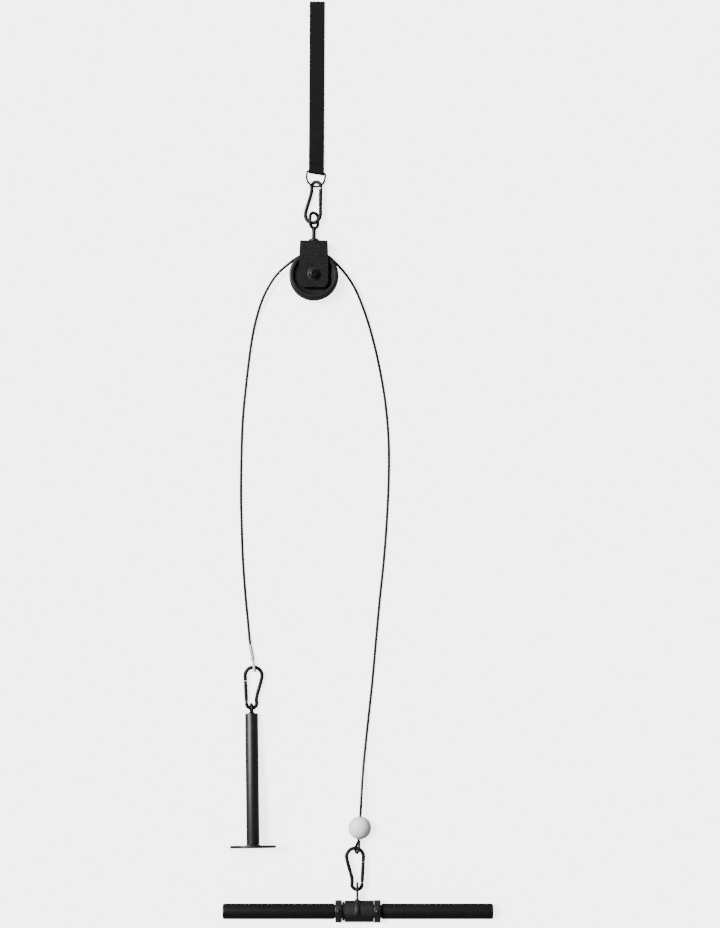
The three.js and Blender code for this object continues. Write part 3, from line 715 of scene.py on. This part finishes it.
class PulleyStage(bpy.types.PropertyGroup):
    """Light and floor."""

    floor_colour: bpy.props.FloatVectorProperty(
        name="Floor colour", description="Colour of the plain floor", subtype="COLOR",
        default=(0.9, 0.9, 0.9), min=0, max=1,
    )
    floor_glow: bpy.props.FloatProperty(
        name="Floor glow", description="Light that the floor gives off, like a lit table",
        default=3.4, min=0,
    )
    floor_strength: bpy.props.FloatProperty(
        name="Floor light", description="Strength of the light on the floor", default=6, min=0,
    )
    key_strength: bpy.props.FloatProperty(
        name="Key light", description="Strength of the soft key light", default=7.5, min=0,
    )
    fill_strength: bpy.props.FloatProperty(
        name="Fill light", description="Strength of the light from all round", default=0.45, min=0,
    )


def slanted(point):
    """A point of the flat band moved to where the slanting D-ring holds it."""
    t = min(max((point.y - 8) / (110 - 8), 0), 1)
    slant = 1 - t * t * (3 - 2 * t)
    return Vector((
        point.x,
        point.y + slant * point.x * STRAP_SLANT,
        point.z + STRAP_DROP * (1 - slant) - slant * point.x * STRAP_TILT,
    ))


class PULLEY_OT_strap(bpy.types.Operator):
    """Doubled webbing band, sewn at its end and round the D-ring"""

    bl_idname = "pulley.strap"
    bl_label = "Webbing strap"

    def execute(self, context):
        sizes = context.scene.pulley_sizes
        half = sizes.ply_thickness / MM / 2
        rest = half + 0.12
        turn = 3.4
        open_angle = 40
        points = [Vector((0, STRAP_LENGTH - 0.3 - 6.0 * i, rest)) for i in range(51)]
        points += [Vector((0, y, rest)) for y in (8.5, 6.2, 4.4)]
        bend = arc(0, 0, turn, open_angle + 12, 360 - open_angle - 12, 22)
        points += [Vector((0, spot.x, spot.y)) for spot in bend]
        points += [Vector((point.x, point.y, -point.z)) for point in reversed(points[:54])]
        edge, corner = STRAP_HALF_WIDTH, 0.45
        columns = 25
        top = [(half, -edge + corner + (2 * edge - 2 * corner) * i / (columns - 1)) for i in range(columns)]
        outline = top + [(half * 0.45, edge), (-half * 0.45, edge)]
        outline += [(-x, y) for x, y in reversed(top)] + [(-half * 0.45, -edge), (half * 0.45, -edge)]
        band = bar_along(points, 1, up=Vector((1, 0, 0)), outline=outline)
        across = band.verts.layers.float.new("across")
        along = band.verts.layers.float.new("along")
        band.verts.ensure_lookup_table()
        walked, travelled = [0.0], 0.0
        for here, there in zip(points, points[1:]):
            travelled += (there - here).length
            walked.append(travelled)
        for i, vert in enumerate(band.verts):
            vert[across] = vert.co.x
            vert[along] = walked[i // len(outline)]
            vert.co = slanted(vert.co)
        strap = finished(band, "webbing_strap", "webbing", "strap", "strap", STRAP, crease=60)
        self.sew(sizes, rest + half)
        return {"FINISHED"}

    def sew(self, sizes, surface):
        """Box stitching at the end of the band, and two rows with side runs at the D-ring."""
        length = sizes.stitch_length / MM
        radius = sizes.thread_diameter / MM / 2
        edge = STRAP_HALF_WIDTH - 2.4
        high, low = STRAP_LENGTH - 2.6, STRAP_LENGTH - 20.5
        near, far = 8.6, 20.0
        runs = [
            ((-edge, high), (edge, high)), ((-edge, low), (edge, low)), ((-edge, low), (-edge, high)),
            ((edge, low), (edge, high)), ((-edge, low), (edge, high)), ((edge, low), (-edge, high)),
            ((-edge, near), (edge, near)), ((-edge, near + 2.4), (edge, near + 2.4)),
            ((-edge, far), (edge, far)), ((-edge, near), (-edge, far)), ((edge, near), (edge, far)),
        ]
        threads = bmesh.new()
        for start, end in runs:
            start, end = Vector((*start, 0)), Vector((*end, 0))
            count = max(1, round((end - start).length / (length + 0.7)))
            heading = (end - start).to_track_quat("X", "Z").to_matrix().to_4x4()
            stretch = Matrix.Diagonal((0.5 * length / radius, 1, 0.8, 1))
            for i in range(count):
                middle = start.lerp(end, (i + 0.5) / count)
                for side in (-1, 1):
                    spot = Matrix.Translation((middle.x, middle.y, side * surface))
                    bmesh.ops.create_uvsphere(
                        threads, u_segments=6, v_segments=6, radius=radius,
                        matrix=spot @ heading @ stretch,
                    )
        for vert in threads.verts:
            vert.co = slanted(vert.co)
        finished(threads, "strap_stitching", "thread", "strap", transform=STRAP, crease=80)


class PULLEY_OT_d_ring(bpy.types.Operator):
    """D-ring of round wire, welded in the middle of its straight side"""

    bl_idname = "pulley.d_ring"
    bl_label = "D-ring"

    def execute(self, context):
        reach = RING_BEND - RING_CORNER
        points = [Vector((reach * (1 - i / 4), 0, 0)) for i in range(8)]
        points += arc(-reach, -RING_CORNER, RING_CORNER, 90, 180, 8)
        points += arc(0, -RING_SIDE, RING_BEND, 180, 360, 44)
        points += arc(reach, -RING_CORNER, RING_CORNER, 0, 90, 8)[:-1]
        ring = bar_along(points, RING_WIRE, 18, closed=True)
        finished(ring, "d_ring_wire", "wire", "d_ring", "d_ring", D_RING)
        return {"FINISHED"}


class PULLEY_OT_snap_hooks(bpy.types.Operator):
    """The three snap hooks: bent wire body, forked gate and rivet"""

    bl_idname = "pulley.snap_hooks"
    bl_label = "Snap hooks"

    def execute(self, context):
        narrow_x, narrow_y = HOOK_NARROW_CENTRE
        lean = math.degrees(math.asin((HOOK_WIDE - HOOK_NARROW) / math.hypot(narrow_x, narrow_y)))
        heading = math.degrees(math.atan2(narrow_y, narrow_x))
        spine, gate = heading + 90 - lean, heading - 90 + lean
        foot = arc(narrow_x, narrow_y, HOOK_NARROW, gate, gate, 1)[0]
        gate_turn = math.radians(gate + 180)
        nose = Vector((foot.x - (HOOK_NOSE_Y - foot.y) * math.tan(gate_turn), HOOK_NOSE_Y, 0))
        rivet = Vector((foot.x - (HOOK_RIVET_Y - foot.y) * math.tan(gate_turn), HOOK_RIVET_Y, 0))
        for name, hook in HOOKS.items():
            wide = arc(0, 0, HOOK_WIDE, gate + 360, spine, 36)
            small = arc(narrow_x, narrow_y, HOOK_NARROW, spine + HOOK_WAIST_TURN, gate, 26)
            leaving, arriving = math.radians(spine - 90), math.radians(spine + HOOK_WAIST_TURN - 90)
            side = bezier(
                wide[-1], wide[-1] + 20 * Vector((math.cos(leaving), math.sin(leaving), 0)),
                small[0] - 10 * Vector((math.cos(arriving), math.sin(arriving), 0)), small[0], 12,
            )
            points = [nose, nose.lerp(wide[0], 0.5), *wide, *side, *small]
            body = bar_along(points, HOOK_WIRE, 20)
            tongue = moved(brick(5, 8.2, 2.2), y=-1.1)
            moved(tongue, rivet.x, rivet.y, turn=Matrix.Rotation(gate_turn, 4, "Z"))
            hole = moved(prism(24, RIVET_BORE, -6, 6), rivet.x, rivet.y)
            body = combined(combined(body, [tongue], "UNION"), [hole])
            finished(body, f"{name}_hook_wire", "wire", f"{name}_hook", f"{name}_hook_body", hook, 40)

            hinge = hook @ Matrix.Translation(rivet) @ Matrix.Rotation(gate_turn, 4, "Z")
            length = (HOOK_NOSE_Y - 0.5 - HOOK_RIVET_Y) / math.cos(gate_turn)
            arm = turned(softened([
                (0, -HOOK_WIRE), (1.75, -3.05), (2.95, -1.95), (HOOK_WIRE, -0.2), (HOOK_WIRE, length - 6),
                (3, length - 5), (3, length - 3.4), (HOOK_WIRE, length - 2.6),
                (HOOK_WIRE, length - 0.3), (HOOK_WIRE - 0.3, length), (0, length),
            ], 0.3, 2), 28)
            arm = combined(arm, [brick(9, 10, 2.8), prism(24, RIVET_BORE, -6, 6)])
            finished(arm, f"{name}_hook_gate_arm", "wire", f"{name}_gate", f"{name}_hook_gate", hinge, 40)
            rim, seat, top = RIVET_HEAD
            half = [(1, seat), (rim, seat), (rim, top), (0, top)]
            other_half = [(radius, -height) for radius, height in reversed(half)]
            pin = turned(softened(other_half + half, 0.3), 28, axis="Z")
            finished(pin, f"{name}_hook_pin", "zinc", f"{name}_hook", f"{name}_hook_rivet", hinge)
        return {"FINISHED"}


class PULLEY_OT_swivel(bpy.types.Operator):
    """Swivel eye with its shank, nut and washer"""

    bl_idname = "pulley.swivel"
    bl_label = "Swivel eye"

    def execute(self, context):
        points = [Vector((EYE_BEND, y, 0)) for y in (-EYE_HALF * 0.5, 0, EYE_HALF * 0.5)]
        points += arc(0, EYE_HALF, EYE_BEND, 0, 180, 24)
        points += [Vector((-EYE_BEND, y, 0)) for y in (EYE_HALF * 0.5, 0, -EYE_HALF * 0.5)]
        points += arc(0, -EYE_HALF, EYE_BEND, 180, 360, 24)
        ring = rolled(bar_along(points, EYE_WIRE, 20, closed=True), EYE_ROLL, "Y")
        moved(ring, y=EYE_CENTRE)
        foot = EYE_CENTRE - EYE_HALF - EYE_BEND
        threads = []
        for i in range(7):
            pitch = 51.6 + 1.25 * i
            threads += [(SHANK_RADIUS, pitch), (SHANK_RADIUS - 0.4, pitch + 0.6)]
        profile = [(0, 51.5), (3.2, 51.5), *threads, (SHANK_RADIUS, 60.8), (SHANK_RADIUS, foot - 6),
                   (4.4, foot - 1.5), (3.7, foot + 0.6), (2.6, foot + 1.7), (0, foot + 1.9)]
        shank = turned(profile, 40)
        eye = combined(ring, [shank], "UNION")
        finished(eye, "swivel_eye_wire", "wire", "swivel", "swivel_eye", BLOCK, 40)
        for node in ("swivel_nut", "swivel_washer"):
            machined(node, "zinc", "swivel", 0.0003)
        return {"FINISHED"}


def machined(node, finish, body, width, name=None, angle=40.0):
    """A CAD node's own shape with its edges eased."""
    piece = finished(
        eased(cad_shape(node), width, angle), name or f"{node}_eased", finish, body, node
    )
    flat = piece.modifiers.new("flat_faces", "WEIGHTED_NORMAL")
    flat.keep_sharp = True
    return piece


class PULLEY_OT_block(bpy.types.Operator):
    """Sheave block: bent frame, axle bolt, washers and the swivel's boss"""

    bl_idname = "pulley.block"
    bl_label = "Block frame"

    def execute(self, context):
        machined("block_frame", "powder", "block", 0.0006, angle=45)
        head = CHEEK_OUTSIDE + 2.1
        bolt = turned(softened([
            (0, -25.1), (4.3, -25.1), (AXLE_RADIUS, -24.4), (AXLE_RADIUS, head), (9.5, head),
            (9.4, head + 1.6), (8.5, head + 3.5), (6.7, head + 4.8), (4.6, head + 5.4), (0, head + 5.5),
        ], 0.35), 56, axis="Z")
        bolt = combined(bolt, [prism(6, 3.4, head + 2, head + 9)])
        finished(bolt, "axle_bolt_head", "wire", "block", "axle_bolt", BLOCK)
        boss = turned(softened([
            (SHANK_RADIUS + GAP, FRAME_TOP + GAP), (9.8, FRAME_TOP + GAP), (9.8, FRAME_TOP + 2.3),
            (8.8, FRAME_TOP + 4.4), (6.6, FRAME_TOP + 5.8), (SHANK_RADIUS + GAP, FRAME_TOP + 6),
        ], 0.8, 4, ring=True), 56, ring=True)
        finished(boss, "swivel_boss_turned", "steel", "block", "swivel_boss", BLOCK)
        bore, face = AXLE_RADIUS + GAP, CHEEK_OUTSIDE + 2.1
        discs = {
            "head_washer": (11.5, CHEEK_OUTSIDE + GAP, face - GAP),
            "nut_washer": (11, GAP - face, -CHEEK_OUTSIDE - GAP),
            "front_thrust_washer": (13, 12, 13.2),
            "back_thrust_washer": (13, -13.2, -12),
        }
        for node, (radius, low, high) in discs.items():
            look = "steel" if node == "head_washer" else "zinc"
            disc = sleeve(bore, radius, low, high, axis="Z")
            finished(disc, f"{node}_turned", look, "block", node, BLOCK)
        machined("axle_nut", "steel", "block", 0.0005)
        return {"FINISHED"}


class PULLEY_OT_sheave(bpy.types.Operator):
    """Grooved sheave with a dished face, and its bush"""

    bl_idname = "pulley.sheave"
    bl_label = "Sheave"

    def execute(self, context):
        half = [
            (8.3, 11.7), (15.4, 11.7), (16.2, 11.2), (17.3, 7), (35.6, 7), (37.2, 11.4), (37.9, 12),
            (42.9, 12), (44.8, 11), (SHEAVE_RADIUS, 9.2), (SHEAVE_RADIUS, 5.6), (44.9, 5.0),
            (41.4, 2.95), (40.6, 1.9), (40.1, 0.8),
        ]
        profile = half + [(radius, -height) for radius, height in reversed(half)]
        wheel = turned(softened(profile, 0.5, 2, ring=True), 112, ring=True, axis="Z")
        finished(wheel, "sheave_wheel", "nylon", "sheave", "sheave", BLOCK, 30)
        bush = sleeve(AXLE_RADIUS + GAP, 8, -11.5, 11.5, axis="Z")
        finished(bush, "sheave_bush_turned", "bronze", "sheave", "sheave_bush", BLOCK)
        return {"FINISHED"}


def smooth_route(stops, steps):
    """Points on a centripetal curve through the stops."""
    knots = [Vector(stop) for stop in stops]
    knots = [2 * knots[0] - knots[1], *knots, 2 * knots[-1] - knots[-2]]
    points = []
    for i in range(1, len(knots) - 2):
        p0, p1, p2, p3 = knots[i - 1:i + 3]
        t0, t1 = 0.0, (p1 - p0).length ** 0.5
        t2 = t1 + (p2 - p1).length ** 0.5
        t3 = t2 + (p3 - p2).length ** 0.5
        for k in range(steps):
            t = t1 + (t2 - t1) * k / steps
            a1 = p0.lerp(p1, (t - t0) / (t1 - t0))
            a2 = p1.lerp(p2, (t - t1) / (t2 - t1))
            a3 = p2.lerp(p3, (t - t2) / (t3 - t2))
            b1 = a1.lerp(a2, (t - t0) / (t2 - t0))
            b2 = a2.lerp(a3, (t - t1) / (t3 - t1))
            points.append(b1.lerp(b2, (t - t1) / (t2 - t1)))
    points.append(knots[-2])
    return points


def cable_eye(strand, reach, bend):
    """A loop of strand in the XY plane, with both its ends at x = 0."""
    stops = [
        (GAP, strand + 0.1), (reach * 0.3, strand + 0.5), (reach * 0.62, bend * 0.82),
        (reach, bend), (reach + bend * 0.71, bend * 0.71), (reach + bend, 0),
    ]
    stops += [(x, -y) for x, y in reversed(stops[:-1])]
    return bar_along(smooth_route([(x, y, 0) for x, y in stops], 5), strand, 18)


class PULLEY_OT_cable(bpy.types.Operator):
    """Coated cable with a sleeved eye, a plain eye and the ball stopper"""

    bl_idname = "pulley.cable"
    bl_label = "Cable and its ends"

    def execute(self, context):
        points = smooth_route(CABLE_ROUTE, 8)
        diameter = context.scene.pulley_sizes.cable_diameter
        line = bpy.data.curves.new("coated_cable", "CURVE")
        line.dimensions = "3D"
        line.bevel_depth = diameter / 2
        line.bevel_resolution = 5
        line.use_fill_caps = True
        spline = line.splines.new("POLY")
        spline.points.add(len(points) - 1)
        for knot, point in zip(spline.points, points):
            knot.co = (*(point * MM), 1)
        spline.use_smooth = True
        line.materials.append(finish_of("coat"))
        cable = new_object("coated_cable", line)
        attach(cable, "block")
        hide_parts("cable")
        ends = [*self.left_end(), *self.right_end()]
        length = sum((there - here).length for here, there in zip(points, points[1:])) * MM
        return {"FINISHED"}

    def left_end(self):
        """Oval crimp sleeve and a loop in the same milky sleeve."""
        oval = [(3.3 * math.cos(a * TAU / 36), 5.35 * math.sin(a * TAU / 36)) for a in range(36)]
        swell = ((0, 0.88), (0.4, 0.96), (1.2, 1), (7, 1), (8, 0.93), (10.5, 0.93), (11.5, 1),
                 (16.5, 1), (17.5, 0.93), (20, 0.93), (21, 1), (26.8, 1), (27.6, 0.96), (28, 0.88))
        crimp = bar_along([Vector((x, 0, 0)) for x, _ in swell], 1, outline=oval)
        for i, (_, girth) in enumerate(swell):
            ring = [v for v in crimp.verts if abs(v.co.x - swell[i][0]) < 0.05]
            bmesh.ops.scale(crimp, vec=(1, girth, girth), verts=ring)
        crimp = finished(crimp, "left_crimp_sleeve", "sleeve", "block", "left_ferrule", LEFT_END, 50)
        eye = moved(rolled(cable_eye(2.2, 14, 6.2), 90, "X"), 28, 0, 0.9)
        eye = finished(eye, "left_sleeved_eye", "sleeve", "block", "left_cable_eye", LEFT_END)
        return crimp, eye

    def right_end(self):
        """Ball stopper, the ferrule in it, and the loop below."""
        first = -math.degrees(math.acos(5.6 / BALL_RADIUS))
        last = math.degrees(math.acos(4.6 / BALL_RADIUS))
        skin = [(point.x, point.y) for point in arc(0, 0, BALL_RADIUS, first, last, 40)]
        profile = [(2.9, -7.2), (5.6, -7.2), (5.6, skin[0][1] + 0.8), *skin, (3.4, 18.6), (2.9, 17.6)]
        ball = turned(profile, 72, ring=True)
        for vert in ball.verts:
            if abs(vert.co.y) < 0.9 and math.hypot(vert.co.x, vert.co.z) > 20:
                vert.co *= 1.004
        ball = finished(ball, "ball_stopper_moulded", "ball", "ball", "ball_stopper", RIGHT_END, 40)
        end = -21.3
        ferrule = turned(softened([(0, end), (5.2, end), (5.2, -8.3), (0, -8.3)], 0.7), 40)
        ferrule = finished(ferrule, "right_crimp_ferrule", "zinc", "block", "right_ferrule", RIGHT_END)
        eye = rolled(rolled(cable_eye(2.42, 18.2, 7.1), 90, "X"), -90, "Z")
        eye = rolled(rolled(rolled(eye, 24, "Y"), 16, "X"), -9, "Z")
        moved(eye, y=end - 1.7)
        eye = finished(eye, "right_plain_eye", "coat", "block", "right_cable_eye", RIGHT_END)
        return ball, ferrule, eye


class PULLEY_OT_pin(bpy.types.Operator):
    """Loading pin: eye bolt, tube, plug and end plate"""

    bl_idname = "pulley.pin"
    bl_label = "Loading pin"

    def execute(self, context):
        top, bottom, radius = -9.3, -250, 12
        points = arc(0, 0, 7.75, 0, 360, 40)[:-1]
        ring = rolled(bar_along(points, 2.75, 20, closed=True), 100, "Y")
        neck = turned(softened([
            (0, -20), (4, -20), (4, top + GAP), (6.2, top + GAP), (6, top + 1.2), (3.3, -6.4), (0, -6),
        ], 0.4), 40)
        eye = combined(ring, [neck], "UNION")
        finished(eye, "pin_eye_forged", "wire", "pin", "pin_eye_bolt", PIN, 40)
        plug = sleeve(4.3, 9.7, top - 13, top - 0.4, 0.4)
        finished(plug, "pin_top_plug_turned", "steel", "pin", "pin_top_plug", PIN)
        tube = sleeve(10, radius, bottom, top, 0.5, segments=72)
        finished(tube, "pin_tube_drawn", "steel", "pin", "pin_tube", PIN)
        boss = bottom - GAP
        near, far, rim = boss - 1.6, boss - 6.6, 42.5
        plate = turned(softened([
            (0, far), (rim, far), (rim, near), (radius + 2, near), (radius + 0.4, boss), (9.7, boss),
            (9.7, boss + 8), (0, boss + 8),
        ], 0.7), 96)
        finished(plate, "pin_plate_turned", "steel", "pin", "pin_plate", PIN)
        return {"FINISHED"}


class PULLEY_OT_bar(bpy.types.Operator):
    """Revolving bar: tube, grips, caps, stop rings, collar and its lug"""

    bl_idname = "pulley.bar"
    bl_label = "Revolving bar"

    def execute(self, context):
        self.collar()
        bore = 12.8
        tube = sleeve(10.5, 12.5, -246, 246, 0.3, "X", 72)
        finished(tube, "bar_tube_drawn", "steel", "bar", "bar_tube", BAR)
        start, end, lip = 44, BAR_HALF - 3.9, BAR_HALF - 3.6
        for side, turn in (("left", 180), ("right", 0)):
            facing = BAR @ Matrix.Rotation(math.radians(turn), 4, "Z")
            grip = turned(softened([
                (bore, start), (GRIP_RADIUS, start), (GRIP_RADIUS, end), (bore, end),
            ], 0.9, 4, ring=True), 72, ring=True, axis="X")
            finished(grip, f"grip_{side}_rubber", "grip", "bar", f"grip_{side}", facing)
            cap = turned(softened([
                (0, lip - 10), (10.2, lip - 10), (10.2, lip), (GRIP_RADIUS, lip),
                (GRIP_RADIUS, BAR_HALF - 2.6), (13.55, BAR_HALF - 0.8), (11.75, BAR_HALF), (0, BAR_HALF),
            ], 1.2, 4), 72, axis="X")
            finished(cap, f"end_cap_{side}_moulded", "cap", "bar", f"end_cap_{side}", facing)
        near, far = RING_ENDS
        screw = (near + far) / 2
        lean = math.radians(-SCREW_LEAN)
        for side, low, high in (("left", -far, -near), ("right", near, far)):
            middle = screw if side == "right" else -screw
            ring = turned(softened([
                (bore, low), (STOP_RING_RADIUS, low), (STOP_RING_RADIUS, high), (bore, high),
            ], 0.9, 3, ring=True), 72, ring=True, axis="X")
            turn = Matrix.Rotation(lean, 4, "X")
            seat = moved(prism(32, 4.6, 17.9, 27), middle, turn=turn)
            thread = moved(prism(32, 3.3, 5, 27), middle, turn=turn)
            ring = combined(ring, [seat, thread])
            finished(ring, f"stop_ring_{side}_turned", "steel", "bar", f"stop_ring_{side}", BAR)
            grub = turned(softened([
                (0, bore), (3, bore), (3, 18.2), (4.2, 18.2), (4.2, 19.2), (3.3, 20.2), (1.9, 20.6),
                (0, 20.7),
            ], 0.3), 32, axis="Z")
            grub = moved(combined(grub, [prism(6, 1.5, 18.9, 22)]), middle, turn=turn)
            finished(grub, f"set_screw_{side}_head", "steel", "bar", f"set_screw_{side}", BAR)
        return {"FINISHED"}

    def collar(self):
        collar = turned(softened([
            (15.3, -24.6), (COLLAR_RADIUS, -24.6), (COLLAR_RADIUS, 29.4), (17.9, 29.4),
            (17.9, 26.6), (15.3, 26.6),
        ], 0.8, 3, ring=True), 96, ring=True, axis="X")
        finished(collar, "collar_knurled", "knurl", "collar", "collar_sleeve", BAR)
        bushes = {
            "left": [(12.8, -29.4), (17.5, -29.4), (17.5, -24.9), (15, -24.9), (15, -10), (12.8, -10)],
            "right": [(12.8, 10), (15, 10), (15, 26.9), (17.5, 26.9), (17.5, 29.3), (12.8, 29.3)],
        }
        for side, profile in bushes.items():
            bush = turned(softened(profile, 0.3, 2, ring=True), 64, ring=True, axis="X")
            finished(bush, f"collar_bush_{side}_turned", "cap", "collar", f"collar_bush_{side}", BAR)
        machined("eye_lug", "steel", "collar", 0.0007, angle=50)
        self.welds()

    def welds(self):
        """A rippled weld bead along each side of the lug's foot."""
        lug, half, low, high = -1.2, 2.2, -30, 100
        beads = bmesh.new()
        for side in (-1, 1):
            for i in range(27):
                angle = math.radians(low + (high - low) * i / 26)
                across = lug + side * (half + 0.7)
                spot = (across, 20.6 * math.cos(angle), 20.6 * math.sin(angle))
                turn = Matrix.Translation(spot) @ Matrix.Rotation(angle, 4, "X")
                bmesh.ops.create_uvsphere(
                    beads, u_segments=14, v_segments=10, radius=1,
                    matrix=turn @ Matrix.Diagonal((1.8, 1.6, 2.2, 1)),
                )
        finished(beads, "lug_weld_beads", "steel", "collar", transform=BAR)


class PULLEY_OT_stage(bpy.types.Operator):
    """Camera, floor and light"""

    bl_idname = "pulley.stage"
    bl_label = "Stage"

    def execute(self, context):
        stage = context.scene.pulley_stage
        eye = bpy.data.cameras.new("camera")
        eye.sensor_width = 36
        eye.lens = CAMERA_LENS
        camera = new_object("camera", eye)
        camera.location = (0.0038, -0.00504, CAMERA_HEIGHT)
        context.scene.camera = camera

        ground = bmesh.new()
        bmesh.ops.create_grid(ground, x_segments=2, y_segments=2, size=12)
        mesh = bpy.data.meshes.new("floor")
        ground.to_mesh(mesh)
        ground.free()
        paint = Finish("floor_paint", tuple(stage.floor_colour), 0.9, specular_ior_level=0.0)
        paint.set("Emission Color", (1, 1, 1, 1))
        paint.set("Emission Strength", stage.floor_glow)
        mesh.materials.append(paint.material)
        floor = new_object("floor", mesh)
        floor.visible_diffuse = False
        floor.visible_glossy = False

        self.lamp("key", stage.key_strength, 30, (-0.66, 0.38, 0.65), floor, "EXCLUDE")
        self.lamp("floor_light", stage.floor_strength, 20, (-0.40, 0.16, 0.9), floor, "INCLUDE")

        world = bpy.data.worlds.new("studio")
        world.use_nodes = True
        tree = world.node_tree
        back = tree.nodes["Background"]
        where = tree.nodes.new("ShaderNodeTexCoord")
        height = tree.nodes.new("ShaderNodeSeparateXYZ")
        ramp = tree.nodes.new("ShaderNodeMapRange")
        ramp.inputs["From Min"].default_value = 0.0
        ramp.inputs["From Max"].default_value = 0.8
        ramp.inputs["To Min"].default_value = 1.0
        ramp.inputs["To Max"].default_value = 0.3
        strength = tree.nodes.new("ShaderNodeMath")
        strength.operation = "MULTIPLY"
        strength.inputs[1].default_value = stage.fill_strength
        tree.links.new(where.outputs["Generated"], height.inputs[0])
        tree.links.new(height.outputs["Z"], ramp.inputs["Value"])
        tree.links.new(ramp.outputs[0], strength.inputs[0])
        tree.links.new(strength.outputs[0], back.inputs["Strength"])
        back.inputs["Color"].default_value = (1, 1, 1, 1)
        context.scene.world = world
        return {"FINISHED"}

    @staticmethod
    def lamp(name, strength, angle, towards, floor, link_state):
        """A soft sun that lights only the floor, or everything but the floor."""
        light = bpy.data.lights.new(name, "SUN")
        light.energy = strength
        light.angle = math.radians(angle)
        lamp = new_object(name, light)
        lamp.rotation_euler = Vector(towards).to_track_quat("Z", "Y").to_euler()
        group = bpy.data.collections.new(name)
        group.objects.link(floor)
        group.collection_objects[0].light_linking.link_state = link_state
        lamp.light_linking.receiver_collection = group


class PULLEY_PT_panel(bpy.types.Panel):
    """The pulley's operators and sizes"""

    bl_label = "Shoulder Pulley"
    bl_idname = "PULLEY_PT_panel"
    bl_space_type = "VIEW_3D"
    bl_region_type = "UI"
    bl_category = "Pulley"

    def draw(self, context):
        for group in (context.scene.pulley_sizes, context.scene.pulley_stage):
            for name in group.__annotations__:
                self.layout.prop(group, name)
        for operator in PIECES:
            self.layout.operator(operator.bl_idname)


PIECES = (
    PULLEY_OT_stage, PULLEY_OT_cable, PULLEY_OT_strap, PULLEY_OT_d_ring, PULLEY_OT_snap_hooks,
    PULLEY_OT_swivel, PULLEY_OT_block, PULLEY_OT_sheave, PULLEY_OT_pin, PULLEY_OT_bar,
)
CLASSES = (PulleySizes, PulleyStage, *PIECES, PULLEY_PT_panel)


def register():
    for cls in CLASSES:
        bpy.utils.register_class(cls)
    bpy.types.Scene.pulley_sizes = bpy.props.PointerProperty(type=PulleySizes)
    bpy.types.Scene.pulley_stage = bpy.props.PointerProperty(type=PulleyStage)


def unregister():
    del bpy.types.Scene.pulley_stage
    del bpy.types.Scene.pulley_sizes
    for cls in reversed(CLASSES):
        bpy.utils.unregister_class(cls)


def main():
    register()
    for piece in PIECES:
        group, name = piece.bl_idname.split(".")
        getattr(getattr(bpy.ops, group), name)()


if __name__ == "__main__":
    main()
